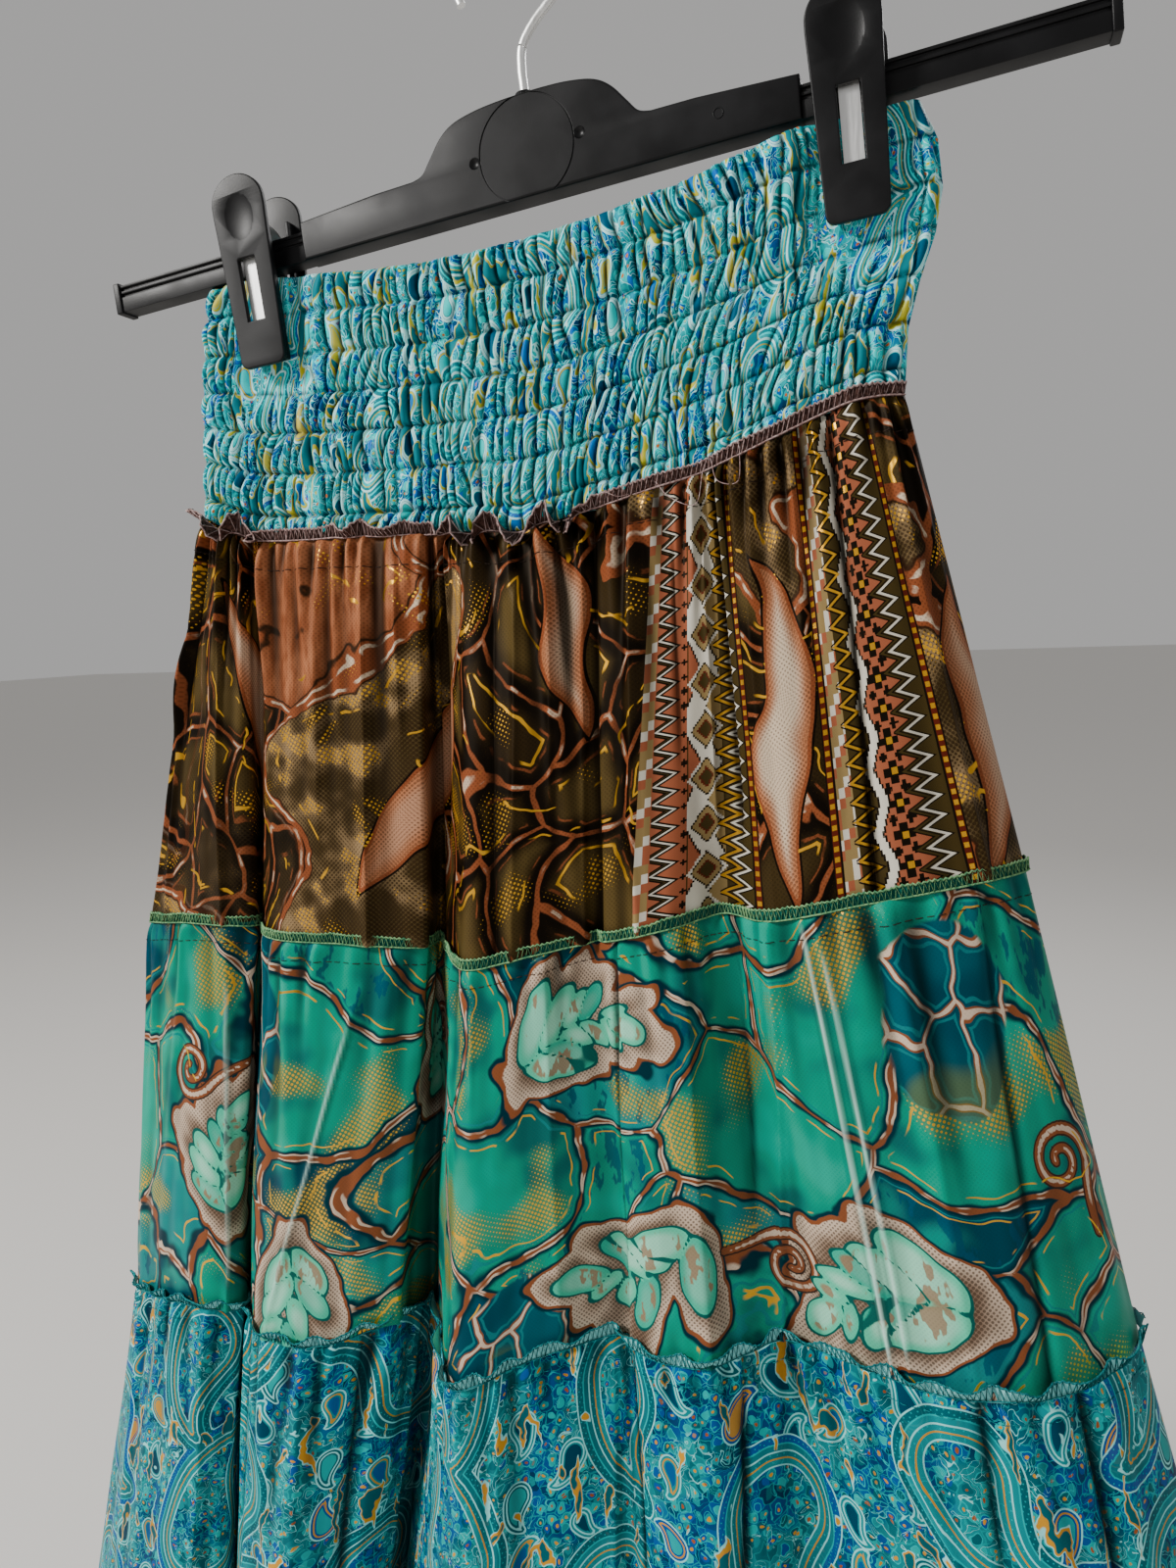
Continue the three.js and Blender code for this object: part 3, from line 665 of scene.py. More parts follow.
def paisley_material(name, fine, lift, deep, gold, dense):
    """Fine all-over teardrop print in turquoise and blue; fine is the size of its smallest florets in millimetres, deep
    the strength of the painted shade in the hollows.
    """
    g = Graph(name)
    flat = g.attr("flat")
    U, V, painted_shade = g.split(flat)
    d1, n1, a1 = g.split(g.attr("drop_large"))
    d2, n2, a2 = g.split(g.attr("drop_small"))
    if dense != 1.0:
        d1, d2 = d1 * dense, d2 * dense
    wx, wy, _ = g.split(g.noise(flat, 0.20, 1, 0.5, 0, color=True))
    wv = g.join(U + wx * 3.2, V + wy * 3.2)
    patch = g.noise(flat, 0.030, 1, 0.5)
    k = 1.0 / fine
    lw = 1.0 if dense == 1.0 else 2.3
    cell_d, cell_c = g.voronoi(wv, k)
    cr, cg, cb = g.split(cell_c)
    edge, _ = g.voronoi(wv, k, "DISTANCE_TO_EDGE")
    e, cd = edge / k, cell_d / k
    n = g.noise(wv, 0.15, 1, 0.5, 0.8)
    curl = g.line(g.frac(n * (4.0 + 3.0 * (dense - 1.0))) - 0.5, 0.022 * dense, 0.028 * dense)
    # leafy ground: florets with a ring and an eye, and thin curled stems
    ground = g.mix(g.step(0.40, 0.60, patch), g.mix(cg, TEAL, AQUA), g.mix(cg, DEEP, BLUE))
    ground = g.mix(g.both(g.under(e, 0.30, 0.2), g.over(cr, 0.35, 0.02)) * 0.55, ground, MINT)
    floret = g.under(cd, fine * 0.36, 0.2)
    ground = g.mix(floret, ground, g.ramp(cr, [(0.0, AQUA), (0.3, BLUE), (0.55, TEAL), (0.75, MINT)], constant=True))
    ground = g.mix(g.both(g.line(cd - fine * 0.36, 0.16, 0.12), g.over(cg, 0.52, 0.02)) * 0.9, ground, PALE)
    eye = g.under(cd, fine * 0.13, 0.15)
    ground = g.mix(g.both(eye, g.over(cb, 0.55, 0.02)), ground, GOLD)
    ground = g.mix(g.both(eye, g.under(cb, 0.22, 0.02)), ground, RUST)
    ground = g.mix(curl * 0.9, ground, g.mix(g.step(0.45, 0.6, patch), CREAM, CREAM if dense > 1 else PALE))
    # small drops
    inner2 = g.ramp(n2, [(0.0, AQUA), (0.3, TEAL), (0.55, BLUE), (0.8, AQUA)], constant=True)
    inner2 = g.mix(g.line(d2 + 1.5, 0.22 * lw), inner2, g.ramp(n2, [(0.0, CREAM), (0.6, GOLD)], constant=True))
    inner2 = g.mix(g.under(d2, -2.5) * 0.9, inner2, g.ramp(n2, [(0.0, DEEP), (0.35, MINT), (0.72, GOLD), (0.84, BLUE)], constant=True))
    col = g.mix(g.under(d2, 0.0), ground, inner2)
    col = g.mix(g.line(d2, 0.24 * lw), col, CREAM)
    # large drops with echo lines, a beaded band and a filled heart
    ring = g.dots(U, V, 1.9, 0.30, 0.4) * 0.75
    big = g.mix(g.dots(U, V, 2.3, 0.30, 0.9) * 0.8, g.mix(n1, TEAL, AQUA), PALE)
    big = g.mix(g.both(g.under(d1, -2.6), g.over(d1, -5.2)), big, g.mix(curl, AQUA, PALE))
    big = g.mix(g.line(d1 + 2.6, 0.20), big, GOLD)
    big = g.mix(g.under(d1, -5.2), big, ground)
    big = g.mix(g.line(d1 + 5.2, 0.20 * lw), big, CREAM)
    out_band = g.both(g.under(d1, 6.0), g.over(d1, 0.0))
    echo = g.mix(ring, g.ramp(n1, [(0.0, TEAL), (0.4, BLUE), (0.7, TEAL)], constant=True), PALE)
    echo = g.mix(g.under(d1, 2.7), echo, g.mix(n1, TEAL, AQUA))
    col = g.mix(out_band * 0.96, col, echo)
    col = g.mix(g.line(d1 - 6.0, 0.20 * lw), col, CREAM)
    col = g.mix(g.line(d1 - 2.7, 0.2 * lw), col, PALE)
    col = g.mix(g.under(d1, 0.0), col, big)
    col = g.mix(g.line(d1, 0.22 * lw), col, CREAM)
    # long dagger leaves of gold here and there
    m = g.noise(g.join(U * 0.9 + wx * 3.0, V * 0.36), 0.15, 0, 0.5, 0.6)
    clear = g.over(d1, 0.8)
    col = g.mix(g.both(g.over(m, gold - 0.022, 0.010), clear), col, CREAM)
    col = g.mix(g.both(g.over(m, gold, 0.010), clear), col, GOLD)
    col = g.mix(g.both(g.over(m, gold + 0.05, 0.014), clear), col, TEAL)
    if lift != 1.0:
        n_ = g.node("ShaderNodeHueSaturation", {"Value": lift, "Saturation": 1.0, "Color": col})
        col = g.mix(1.0, Sock(g, n_.outputs[0]), (0.58, 0.97, 0.97), "DARKEN")
    # painted shade: colour darkened towards near-black in pleat hollows and fold valleys
    col = g.mix(painted_shade * deep, col, (0.0, 0.006, 0.010))
    return g.finish(col, 0.45, 0.0, weave(g, U, V), 0.12, 0.0002, sheen=0.0, spec=0.06, tint=(0.3, 0.9, 1.0))


def stripes(g, p, q, wide, second):
    """A woven-look border stripe: stepped river, zigzags, crosses and a beaded cord. p mm across, q mm down."""
    BLACK, OLIVE, SAND = (0.004, 0.003, 0.002), (0.045, 0.030, 0.008), (0.270, 0.185, 0.072)
    TERRA, WHITE, WINE, FOIL = (0.330, 0.095, 0.045), (0.640, 0.600, 0.500), (0.100, 0.012, 0.006), (0.720, 0.360, 0.020)
    px = g.math("SNAP", p, 0.75)
    qx = g.math("SNAP", q, 0.75)
    zig = g.tri(q / 6.4)
    wave = g.tri(qx / (34.0 if not second else 21.0))
    foil = None

    def cross(pc, period, shift, size):
        a = g.absv(px - pc)
        b = g.absv((g.frac((qx + shift) / period) - 0.5) * period)
        plus = g.either(g.both(g.under(a, size * 0.36, 0.05), g.under(b, size, 0.05)), g.both(g.under(b, size * 0.36, 0.05), g.under(a, size, 0.05)))
        mid = g.both(g.under(a, size * 0.3, 0.05), g.under(b, size * 0.3, 0.05))
        return plus, mid

    def between(a, b):
        return g.both(g.over(p, a, 0.12), g.under(p, b, 0.12))

    checks = g.ramp(g.frac(g.math("SNAP", q, 3.4) / 13.6 + g.math("SNAP", p, 2.2) / 8.8), [(0.0, SAND), (0.25, WHITE), (0.5, TERRA), (0.75, SAND)], constant=True)
    if not second:
        col = g.mix(between(-1, 4.5), OLIVE, checks)
        col = g.mix(between(4.2, 16.5), col, TERRA)
        z = p - zig * 3.6
        on = between(4.5, 16)
        col = g.mix(g.both(on, g.over(z, 5.6, 0.1), g.under(z, 7.4, 0.1)), col, OLIVE)
        col = g.mix(g.both(on, g.line(z - 8.4, 0.75)), col, WHITE)
        col = g.mix(g.both(on, g.either(g.line(z - 5.3, 0.6), g.line(z - 7.2, 0.55), g.line(z - 9.9, 0.65))), col, BLACK)
        c1, m1 = cross(15.2, 5.1, 0.0, 1.3)
        col = g.mix(c1, col, BLACK)
        centre = 22.0 + wave * 4.6
        field = g.mix(g.over(px, centre, 0.05), TERRA, SAND)
        col = g.mix(between(17.0, 31.0), col, field)
        river = g.absv(px - centre)
        col = g.mix(g.both(g.under(river, 4.6, 0.05), between(16.5, 31)), col, BLACK)
        col = g.mix(g.both(g.under(river, 3.8, 0.05), between(16.5, 31)), col, WHITE)
        dia = g.absv(px - 23.6) + g.absv((g.frac(qx / 17.0 + 0.25) - 0.5) * 17.0) * 0.86
        col = g.mix(g.under(dia, 7.4, 0.05), col, WHITE)
        col = g.mix(g.under(dia, 6.2, 0.05), col, BLACK)
        col = g.mix(g.under(dia, 5.5, 0.05), col, SAND)
        col = g.mix(g.under(dia, 3.4, 0.05), col, WINE)
        col = g.mix(g.under(dia, 2.6, 0.05), col, OLIVE)
        z = p - zig * 3.7
        on = between(28.5, 43.4)
        col = g.mix(g.both(on, g.over(z, 31.0, 0.1)), col, SAND)
        col = g.mix(g.both(on, g.over(z, 35.3, 0.1)), col, OLIVE)
        col = g.mix(g.both(on, g.either(g.line(z - 31.2, 0.6), g.line(z - 35.0, 0.6), g.line(z - 39.2, 0.5))), col, BLACK)
        gold_z = g.both(on, g.line(z - 33.0, 0.95))
        col = g.mix(g.both(on, g.line(z - 37.6, 0.85)), col, WHITE)
        cord_at, cord2 = 44.8, -10.0
        foil = gold_z
    else:
        col = g.mix(between(3.0, 9.5), OLIVE, checks)
        z = p - zig * 3.2
        on = between(8.0, 18.0)
        col = g.mix(g.both(on, g.either(g.line(z - 10.6, 0.5), g.line(z - 14.2, 0.5))), col, BLACK)
        gold_z = g.both(on, g.line(z - 12.4, 0.8))
        centre = 18.2 + wave * 2.0
        col = g.mix(g.both(g.over(px, centre, 0.05), g.under(p, 36.0)), col, TERRA)
        river = g.absv(px - centre)
        col = g.mix(g.both(g.under(river, 2.3, 0.05), between(14, 23)), col, BLACK)
        col = g.mix(g.both(g.under(river, 1.5, 0.05), between(14, 23)), col, WHITE)
        c1, m1 = cross(25.2, 10.2, 0.0, 3.7)
        c2, m2 = cross(28.4, 10.2, 5.1, 1.9)
        c3, m3 = cross(22.2, 10.2, 5.1, 1.7)
        col = g.mix(g.either(c1, c2, c3), col, BLACK)
        z = p - zig * 3.7
        on = between(28.0, 44.0)
        col = g.mix(g.both(on, g.over(z, 31.4, 0.1)), col, OLIVE)
        col = g.mix(g.both(on, g.either(g.line(z - 31.4, 0.5), g.line(z - 34.2, 0.4), g.line(z - 38.0, 0.4))), col, BLACK)
        col = g.mix(g.both(on, g.line(z - 36.4, 0.9)), col, WHITE)
        foil = g.either(gold_z, m1)
        cord_at, cord2 = 44.8, 1.6
    cords = g.either(g.line(p - cord_at, 1.5), g.line(p - cord2, 1.5))
    thin = g.either(g.line(g.absv(p - cord_at) - 1.5, 0.3), g.line(g.absv(p - cord2) - 1.5, 0.3))
    col = g.mix(cords, col, WINE)
    col = g.mix(thin, col, BLACK)
    bead = g.both(g.either(g.line(p - cord_at, 0.75), g.line(p - cord2, 0.75)), g.line((g.frac(q / 3.5) - 0.5) * 3.5, 0.75))
    foil = g.either(foil, bead)
    col = g.mix(foil, col, FOIL)
    inside = g.both(g.over(p, 0.0, 0.15), g.under(p, wide, 0.15))
    return col, inside, g.both(foil, inside)


def brown_material(name, striped):
    """Dark pebbled print with copper veins, peach and tan fields and foil touches, and two woven-look border stripes."""
    g = Graph(name)
    flat = g.attr("flat")
    U, V, painted_shade = g.split(flat)
    petal, petal_n, _ = g.split(g.attr("petal"))
    wx, wy, _ = g.split(g.noise(flat, 0.019, 0, 0.5, 0, color=True))
    rx, ry, rz = g.split(g.noise(flat, 0.11, 1, 0.5, 0, color=True))
    soft = g.noise(flat, 0.045, 2, 0.6)
    streak = g.noise(g.join(U * 0.30, V * 0.07), 1.0, 2, 0.6)
    DARK, BROWN, GLOW, COPPER = (0.0016, 0.0008, 0.0004), (0.020, 0.0115, 0.0038), (0.095, 0.062, 0.018), (0.235, 0.062, 0.022)
    PEACH, BONE, TAN, FOIL = (0.430, 0.160, 0.072), (0.620, 0.480, 0.340), (0.270, 0.175, 0.085), (0.820, 0.420, 0.030)
    # pebbles
    vec = g.join(U + wx * 34.0 + rx * 2.4, V * 0.74 + wy * 30.0 + ry * 2.2)
    scale = 0.036
    _, cell = g.voronoi(vec, scale, random=0.8)
    c1, c2, c3 = g.split(cell)
    edge, _ = g.voronoi(vec, scale, "DISTANCE_TO_EDGE", random=0.8)
    e = edge / scale
    pebble = g.mix(g.step(2.0, 6.5, e), DARK, BROWN)
    pebble = g.mix(g.both(g.step(4.0, 12.0, e + soft * 3.0), g.step(0.15, 0.75, c1)) * 0.85, pebble, GLOW)
    inner = g.both(g.line(e - 4.6, 0.30, 0.2), g.step(0.46, 0.58, rz))
    pebble = g.mix(inner * 0.7, pebble, COPPER)
    width = 0.35 + c3 * 0.5 + rz * 0.9
    pebble = g.mix(g.step(0.0, 0.4, width - e), pebble, COPPER)
    pebble = g.mix(g.both(g.line(e - 0.25, 0.16, 0.15), g.step(0.55, 0.68, rz)) * 0.8, pebble, BONE)
    # broad fields of peach and of tan halftone, each in a copper and bone rim
    fvec = g.join(U * 0.80 + wx * 60.0 + rx * 4.0 + 37.0, V * 0.62 + wy * 52.0 + ry * 4.0)
    fs = 0.0135
    _, fcol = g.voronoi(fvec, fs)
    f1, f2, f3 = g.split(fcol)
    fedge, _ = g.voronoi(fvec, fs, "DISTANCE_TO_EDGE")
    fe = fedge / fs
    peach = g.under(f1, 0.26, 0.01)
    tan = g.both(g.over(f1, 0.26, 0.01), g.under(f1, 0.62, 0.01))
    pcol = g.mix(g.step(0.35, 0.70, streak), PEACH, (0.235, 0.070, 0.026))
    pcol = g.mix(g.step(10.0, 2.0, fe) * 0.6, pcol, (0.150, 0.036, 0.012))
    tone = g.step(0.34, 0.68, soft + rz * 0.12)
    tcol = g.mix(tone, TAN, (0.060, 0.038, 0.012))
    tcol = g.mix(g.dots(U, V, 1.35, g.step(0.0, 1.0, tone, 0.25, 0.62), 0.75) * 0.75, tcol, (0.020, 0.010, 0.004))
    base = g.mix(g.both(peach, g.over(fe, 2.2, 0.4)), pebble, pcol)
    base = g.mix(g.both(tan, g.over(fe, 2.2, 0.4)), base, tcol)
    field = g.either(peach, tan)
    rim = 2.4 + rz * 1.6
    base = g.mix(g.both(field, g.step(0.0, 0.5, rim + 0.7 - fe)), base, (0.030, 0.012, 0.005))
    base = g.mix(g.both(field, g.step(0.0, 0.4, rim - fe)), base, COPPER)
    base = g.mix(g.both(field, g.line(fe - rim * 0.55, 0.36, 0.2), g.step(0.40, 0.52, rx)), base, BONE)
    # foil: short strokes, and speckle where the halftone is light
    stroke = g.both(g.line(e - 6.4, 0.34), g.step(0.52, 0.60, g.noise(flat, 0.05, 0, 0.5)), g.math("SUBTRACT", 1.0, field))
    arc = g.both(g.line(fe - 7.5 - rx * 4.0, 0.40), g.step(0.50, 0.58, ry))
    light = g.both(tan, g.step(0.55, 0.25, tone), g.over(fe, 4.0, 2.0))
    speck = g.dots(U, V, 1.6, g.either(light * 0.52, g.step(0.60, 0.74, g.noise(g.join(U + 300.0, V), 0.033, 1, 0.5), 0.0, 0.46)), 0.5)
    foil = g.either(stroke, arc, g.both(speck, g.over(e, 2.4, 1.0)))
    # long pale blades
    pet = g.mix(g.step(-7.0, -1.0, petal), g.mix(petal_n, BONE, PEACH), PEACH)
    pet = g.mix(g.dots(U, V, 1.35, g.step(-8.0, 0.0, petal, 0.30, 0.56), 0.75) * 0.5, pet, (0.08, 0.030, 0.012))
    base = g.mix(g.under(petal, 1.8), base, DARK)
    base = g.mix(g.under(petal, 0.9), base, COPPER)
    base = g.mix(g.under(petal, -0.4), base, pet)
    foil = g.both(foil, g.over(petal, 0.6))
    base = g.mix(g.dots(U, V, 1.25, 0.36, 0.78) * 0.30, base, (0.0, 0.0, 0.0))
    base = g.mix(foil, base, FOIL)
    if striped:
        pA, pB, _ = g.split(g.attr("stripe"))
        for p, second in ((pA, False), (pB, True)):
            col, inside, shine = stripes(g, p, V, 46.5, second)
            base = g.mix(inside, base, col)
            foil = g.both(foil, g.math("SUBTRACT", 1.0, inside))
            foil = g.either(foil, shine)
    # painted shade: colour darkened towards near-black in pleat hollows and fold valleys
    base = g.mix(painted_shade * 0.90, base, (0.0010, 0.0006, 0.0003))
    rough = g.blendf(foil, 0.44, 0.30)
    return g.finish(base, rough, foil * 0.7, weave(g, U, V), 0.12, 0.0002, sheen=0.0, spec=0.10, tint=(1.0, 0.75, 0.5))


def teal_material(name):
    """Emerald and petrol ground with copper veins, foil contours and leaf sprays."""
    g = Graph(name)
    flat = g.attr("flat")
    U, V, painted_shade = g.split(flat)
    leaf, leaf_n, leaf_gap = g.split(g.attr("leaf"))
    curl, fine, _ = g.split(g.attr("curl"))
    bx, by, _ = g.split(g.noise(flat, 0.015, 0, 0.5, 0, color=True))
    sx, sy, sz = g.split(g.noise(flat, 0.09, 1, 0.5, 0, color=True))
    EMERALD, SEA, PETROL = (0.0, 0.275, 0.175), (0.0, 0.190, 0.190), (0.0, 0.048, 0.075)
    COPPER, BONE, FOIL, MINTY = (0.230, 0.066, 0.022), (0.620, 0.470, 0.350), (0.820, 0.440, 0.030), (0.080, 0.560, 0.350)
    TAUPE, INK = (0.210, 0.130, 0.085), (0.0, 0.022, 0.036)
    vec = g.join(U * 0.78 + bx * 62.0 + sx * 4.0, V * 0.98 + by * 62.0 + sy * 4.0)
    scale = 0.0205
    _, cell = g.voronoi(vec, scale)
    c1, c2, c3 = g.split(cell)
    edge, _ = g.voronoi(vec, scale, "DISTANCE_TO_EDGE")
    e = edge / scale
    base = g.ramp(c1, [(0.0, EMERALD), (0.34, SEA), (0.52, EMERALD), (0.84, PETROL)], constant=True)
    wash = g.noise(flat, 0.026, 2, 0.6)
    base = g.mix(g.step(0.50, 0.72, wash) * 0.7, base, PETROL)
    base = g.mix(g.step(0.50, 0.28, wash) * 0.6, base, (0.0, 0.40, 0.285))
    rag = g.noise(g.join(U, V * 0.45), 0.11, 3, 0.65)
    base = g.mix(g.both(g.over(rag, 0.55, 0.04), g.over(c2, 0.62, 0.02), g.over(e, 4.0, 2.0)) * 0.8, base, (0.0, 0.060, 0.110))
    # copper branches with a dark side and a bone side; thin twigs in places
    width = sz * 2.4 + bx * 2.2 - 0.9
    base = g.mix(g.step(0.0, 1.6, width + 2.2 - e), base, INK)
    base = g.mix(g.both(g.line(e - width - 3.0, 0.32), g.over(c3, 0.45, 0.02)) * 0.8, base, SEA)
    base = g.mix(g.step(0.0, 0.4, width - e), base, COPPER)
    base = g.mix(g.both(g.line(e - width * 0.66, 0.34), g.step(0.46, 0.58, sx)), base, BONE)
    # a patch of small petrol cells with pale twigs
    fvec = g.join(U * 1.0 + sx * 5.0, V * 0.7 + sy * 5.0)
    fedge, _ = g.voronoi(fvec, 0.058, "DISTANCE_TO_EDGE")
    f = fedge / 0.058
    small = g.mix(g.step(0.35, 0.65, wash), (0.0, 0.085, 0.115), PETROL)
    small = g.mix(g.line(f - 2.2, 0.35), small, (0.0, 0.160, 0.175))
    small = g.mix(g.under(f, 0.95), small, COPPER)
    small = g.mix(g.under(f, 0.55), small, BONE)
    base = g.mix(g.step(-1.0, 1.0, fine), base, small)
    # foil
    loop = g.both(g.line(e - width - 4.6, 0.26), g.step(0.44, 0.52, sy))
    patch = g.step(0.52, 0.74, g.noise(g.join(U + 120.0, V + 80.0), 0.024, 1, 0.5))
    speck = g.both(g.dots(U, V, 1.6, g.step(0.0, 1.0, patch, 0.0, 0.54), 0.5), g.over(e - width, 1.8, 1.0))
    foil = g.both(g.either(loop, speck), g.under(fine, 0.0, 1.0))
    base = g.mix(g.step(0.1, 1.0, patch) * g.over(e - width, 2.0, 2.0) * 0.50, base, (0.13, 0.17, 0.035))
    # sprays of pale leaves on a scalloped mat
    mat = leaf - wash * 10.0 - sz * 2.0
    base = g.mix(g.under(mat, 0.6, 0.6), base, INK)
    base = g.mix(g.under(mat, -0.2), base, COPPER)
    mattint = g.mix(g.step(-6.5, -1.2, mat), TAUPE, BONE)
    mattint = g.mix(g.dots(U, V, 1.35, g.step(-7.0, -1.0, mat, 0.62, 0.36), 0.78) * 0.7, mattint, (0.055, 0.028, 0.016))
    base = g.mix(g.under(mat, -1.0), base, mattint)
    fill = g.mix(g.step(-3.4, -0.5, leaf), (0.30, 0.70, 0.50), MINTY)
    fill = g.mix(g.step(0.55, 0.9, leaf_n) * 0.7, fill, (0.0, 0.330, 0.230))
    fill = g.mix(g.both(g.under(leaf, -1.2, 0.8), g.over(rag, 0.58, 0.03)) * 0.8, fill, (0.30, 0.12, 0.06))
    base = g.mix(g.under(leaf, 0.6), base, (0.0, 0.085, 0.070))
    base = g.mix(g.under(leaf, 0.0), base, fill)
    base = g.mix(g.both(g.under(leaf, 0.1), g.under(leaf_gap, 0.55, 0.25)), base, (0.0, 0.100, 0.080))
    foil = g.both(foil, g.over(mat, 0.7))
    # copper scrolls
    free = g.over(leaf, 0.5)
    base = g.mix(g.both(g.under(curl, 0.8), free), base, (0.04, 0.016, 0.010))
    base = g.mix(g.both(g.under(curl, 0.2), free), base, COPPER)
    base = g.mix(g.both(g.under(curl, -0.7), free), base, BONE)
    base = g.mix(g.dots(U, V, 1.15, 0.34, 0.78) * 0.10, base, (0.0, 0.02, 0.02))
    base = g.mix(foil, base, FOIL)
    # painted shade: colour darkened towards near-black in pleat hollows and fold valleys
    base = g.mix(painted_shade * 0.88, base, (0.0, 0.006, 0.008))
    glint, shade, _ = g.split(g.attr("glint"))
    # painted shade beside the pressed creases, then a painted highlight along them
    base = g.mix(shade * 0.5, base, (0.0, 0.03, 0.03))
    base = g.mix(glint * 0.9, base, (0.62, 0.88, 0.78))
    rough = g.blendf(foil, 0.40, 0.28)
    return g.finish(base, rough, foil * 0.7, weave(g, U, V), 0.10, 0.0002, sheen=0.0, spec=0.10, tint=(0.35, 1.0, 0.9))


def thread_material(name, light, dark):
    g = Graph(name)
    tex = g.node("ShaderNodeTexCoord")
    o = Sock(g, tex.outputs["Object"])
    n = g.node("ShaderNodeTexNoise", {"Vector": o, "Scale": 900.0, "Detail": 2.0})
    n2 = g.node("ShaderNodeTexNoise", {"Vector": o, "Scale": 70.0, "Detail": 2.0})
    col = g.mix(g.step(0.3, 0.7, Sock(g, n.outputs[0])), dark, light)
    col = g.mix(g.step(0.35, 0.7, Sock(g, n2.outputs[0])) * 0.35, col, dark)
    return g.finish(col, 0.6, 0.0, Sock(g, n.outputs[0]), 0.3, 0.0002, spec=0.1)


def plastic_material():
    g = Graph("black_plastic")
    tex = g.node("ShaderNodeTexCoord")
    o = Sock(g, tex.outputs["Object"])
    fine = Sock(g, g.node("ShaderNodeTexNoise", {"Vector": o, "Scale": 2600.0, "Detail": 3.0}).outputs[0])
    wide = Sock(g, g.node("ShaderNodeTexNoise", {"Vector": o, "Scale": 42.0, "Detail": 4.0}).outputs[0])
    col = g.mix(g.step(0.35, 0.75, wide), (0.0030, 0.0030, 0.0034), (0.0075, 0.0075, 0.0085))
    rough = g.step(0.3, 0.75, wide, 0.36, 0.52)
    return g.finish(col, rough, 0.0, fine, 0.25, 0.0001, spec=0.22)


def steel_material():
    g = Graph("bright_steel")
    tex = g.node("ShaderNodeTexCoord")
    x, y, z = g.split(Sock(g, tex.outputs["Object"]))
    n = g.noise(g.join(x * 900.0, z * 60.0), 1.0, 3, 0.6)
    col = g.mix(n, (0.74, 0.74, 0.73), (0.95, 0.95, 0.94))
    return g.finish(col, g.step(0.3, 0.7, n, 0.36, 0.46), 1.0)


# ------------------------------------------------------------------ the cloth
band_f, band_b = Band(True, 41), Band(False, 42)
tier1_f = Tier("w", "a", True, 0.7, 11, 62, 5.4, 30, creases=[
    (1.1, 1.55, 0, 1, 2.6, 6, 1.5), (4.75, 4.8, 0, 0.8, 2.0, 3, 3), (5.35, 5.38, 0, 1, 3.2, 7, 1.4), (5.72, 5.8, 0, 0.55, 2.6, 4, 1.5),
    (6.1, 6.05, 0, 1, 4.0, 8, 2.0), (8.55, 8.5, 0.1, 1, -2.4, 2.0, 3.0), (9.0, 8.75, 0.05, 1, 3.0, 1.5, 5.0),
    (9.45, 9.3, 0, 0.8, 2.6, 4, 1.6), (9.9, 9.75, 0, 1, 2.2, 3.5, 1.5), (10.3, 10.35, 0, 1, -3.6, 2.5, 1.2), (11.6, 11.55, 0, 1, 2.2, 1.2, 3.0),
    (12.3, 12.3, 0, 0.7, -2.0, 1.6, 2.0), (12.95, 13.0, 0, 0.9, 2.8, 5, 1.4), (13.4, 13.5, 0, 0.9, -2.8, 1.6, 2.6), (14.1, 14.1, 0, 1, 1.6, 4, 4),
    (14.9, 14.8, 0, 0.5, -2.4, 1.5, 2.0), (15.5, 15.15, 0, 1, -3.2, 1.1, 1.1), (16.3, 16.3, 0, 1, 2.2, 4, 1.5)])
tier1_b = Tier("w", "a", False, 0.7, 12, 52, 3.3, 30)
tier2_f = Tier("a", "b", True, 1.0, 13, 48, 3.1, 26, creases=[
    (1.55, 1.75, 0, 1, 1.8, 1.4, 1.4), (5.45, 4.25, 0.05, 1, 2.0, 1.5, 1.5), (6.15, 6.05, 0, 1, 3.2, 8, 2.0), (8.15, 8.15, 0, 0.4, 2.0, 1.5, 2.5),
    (9.2, 9.3, 0, 1, 1.6, 5, 5), (11.2, 10.6, 0, 1, -3.2, 2.2, 1.0), (12.2, 12.1, 0, 1, 1.7, 5, 2), (13.2, 12.7, 0, 0.8, -1.6, 3, 3), (14.05, 13.0, 0, 1, 2.4, 6, 1.5),
    (14.38, 14.42, 0, 1, 1.7, 1.3, 1.0), (14.53, 14.60, 0, 1, 1.5, 1.0, 1.3), (16.2, 15.9, 0, 1, -2.8, 5, 3), (15.3, 15.2, 0, 1, 1.6, 6, 3)],
    glints=[(1.55, 1.75, 0.12, 0.95, 0.5), (5.45, 4.25, 0.18, 0.92, 0.6), (14.38, 14.42, 0.0, 1.0, 1.0), (14.53, 14.60, 0.06, 0.97, 0.8)])
tier2_b = Tier("a", "b", False, 1.0, 14, 40, 2.2, 24)
tier3_f = Tier("b", "h", True, 0.85, 15, 54, 3.6, 34, creases=[
    (1.4, 1.5, 0, 1, 2.0, 4, 2), (4.9, 5.1, 0, 1, 2.0, 4, 2), (5.6, 5.6, 0, 0.7, -1.8, 2, 3), (6.6, 6.4, 0, 1, 3.2, 7, 2), (8.6, 8.7, 0, 0.8, 1.8, 2, 4),
    (9.8, 9.6, 0, 0.8, 2.0, 4, 3), (10.9, 10.7, 0, 1, -3.0, 2, 1.5), (12.5, 12.0, 0, 1, -3.8, 4, 2.5), (13.3, 13.6, 0, 1, 1.8, 5, 2),
    (14.2, 16.0, 0, 0.8, 2.6, 5, 1.3), (15.2, 15.0, 0, 1, -2.2, 3, 3), (16.15, 16.0, 0, 1, -2.8, 3, 2)],
    glints=[(14.2, 16.0, 0.0, 0.6, 0.35)])
tier3_b = Tier("b", "h", False, 0.85, 16, 46, 2.5, 28)


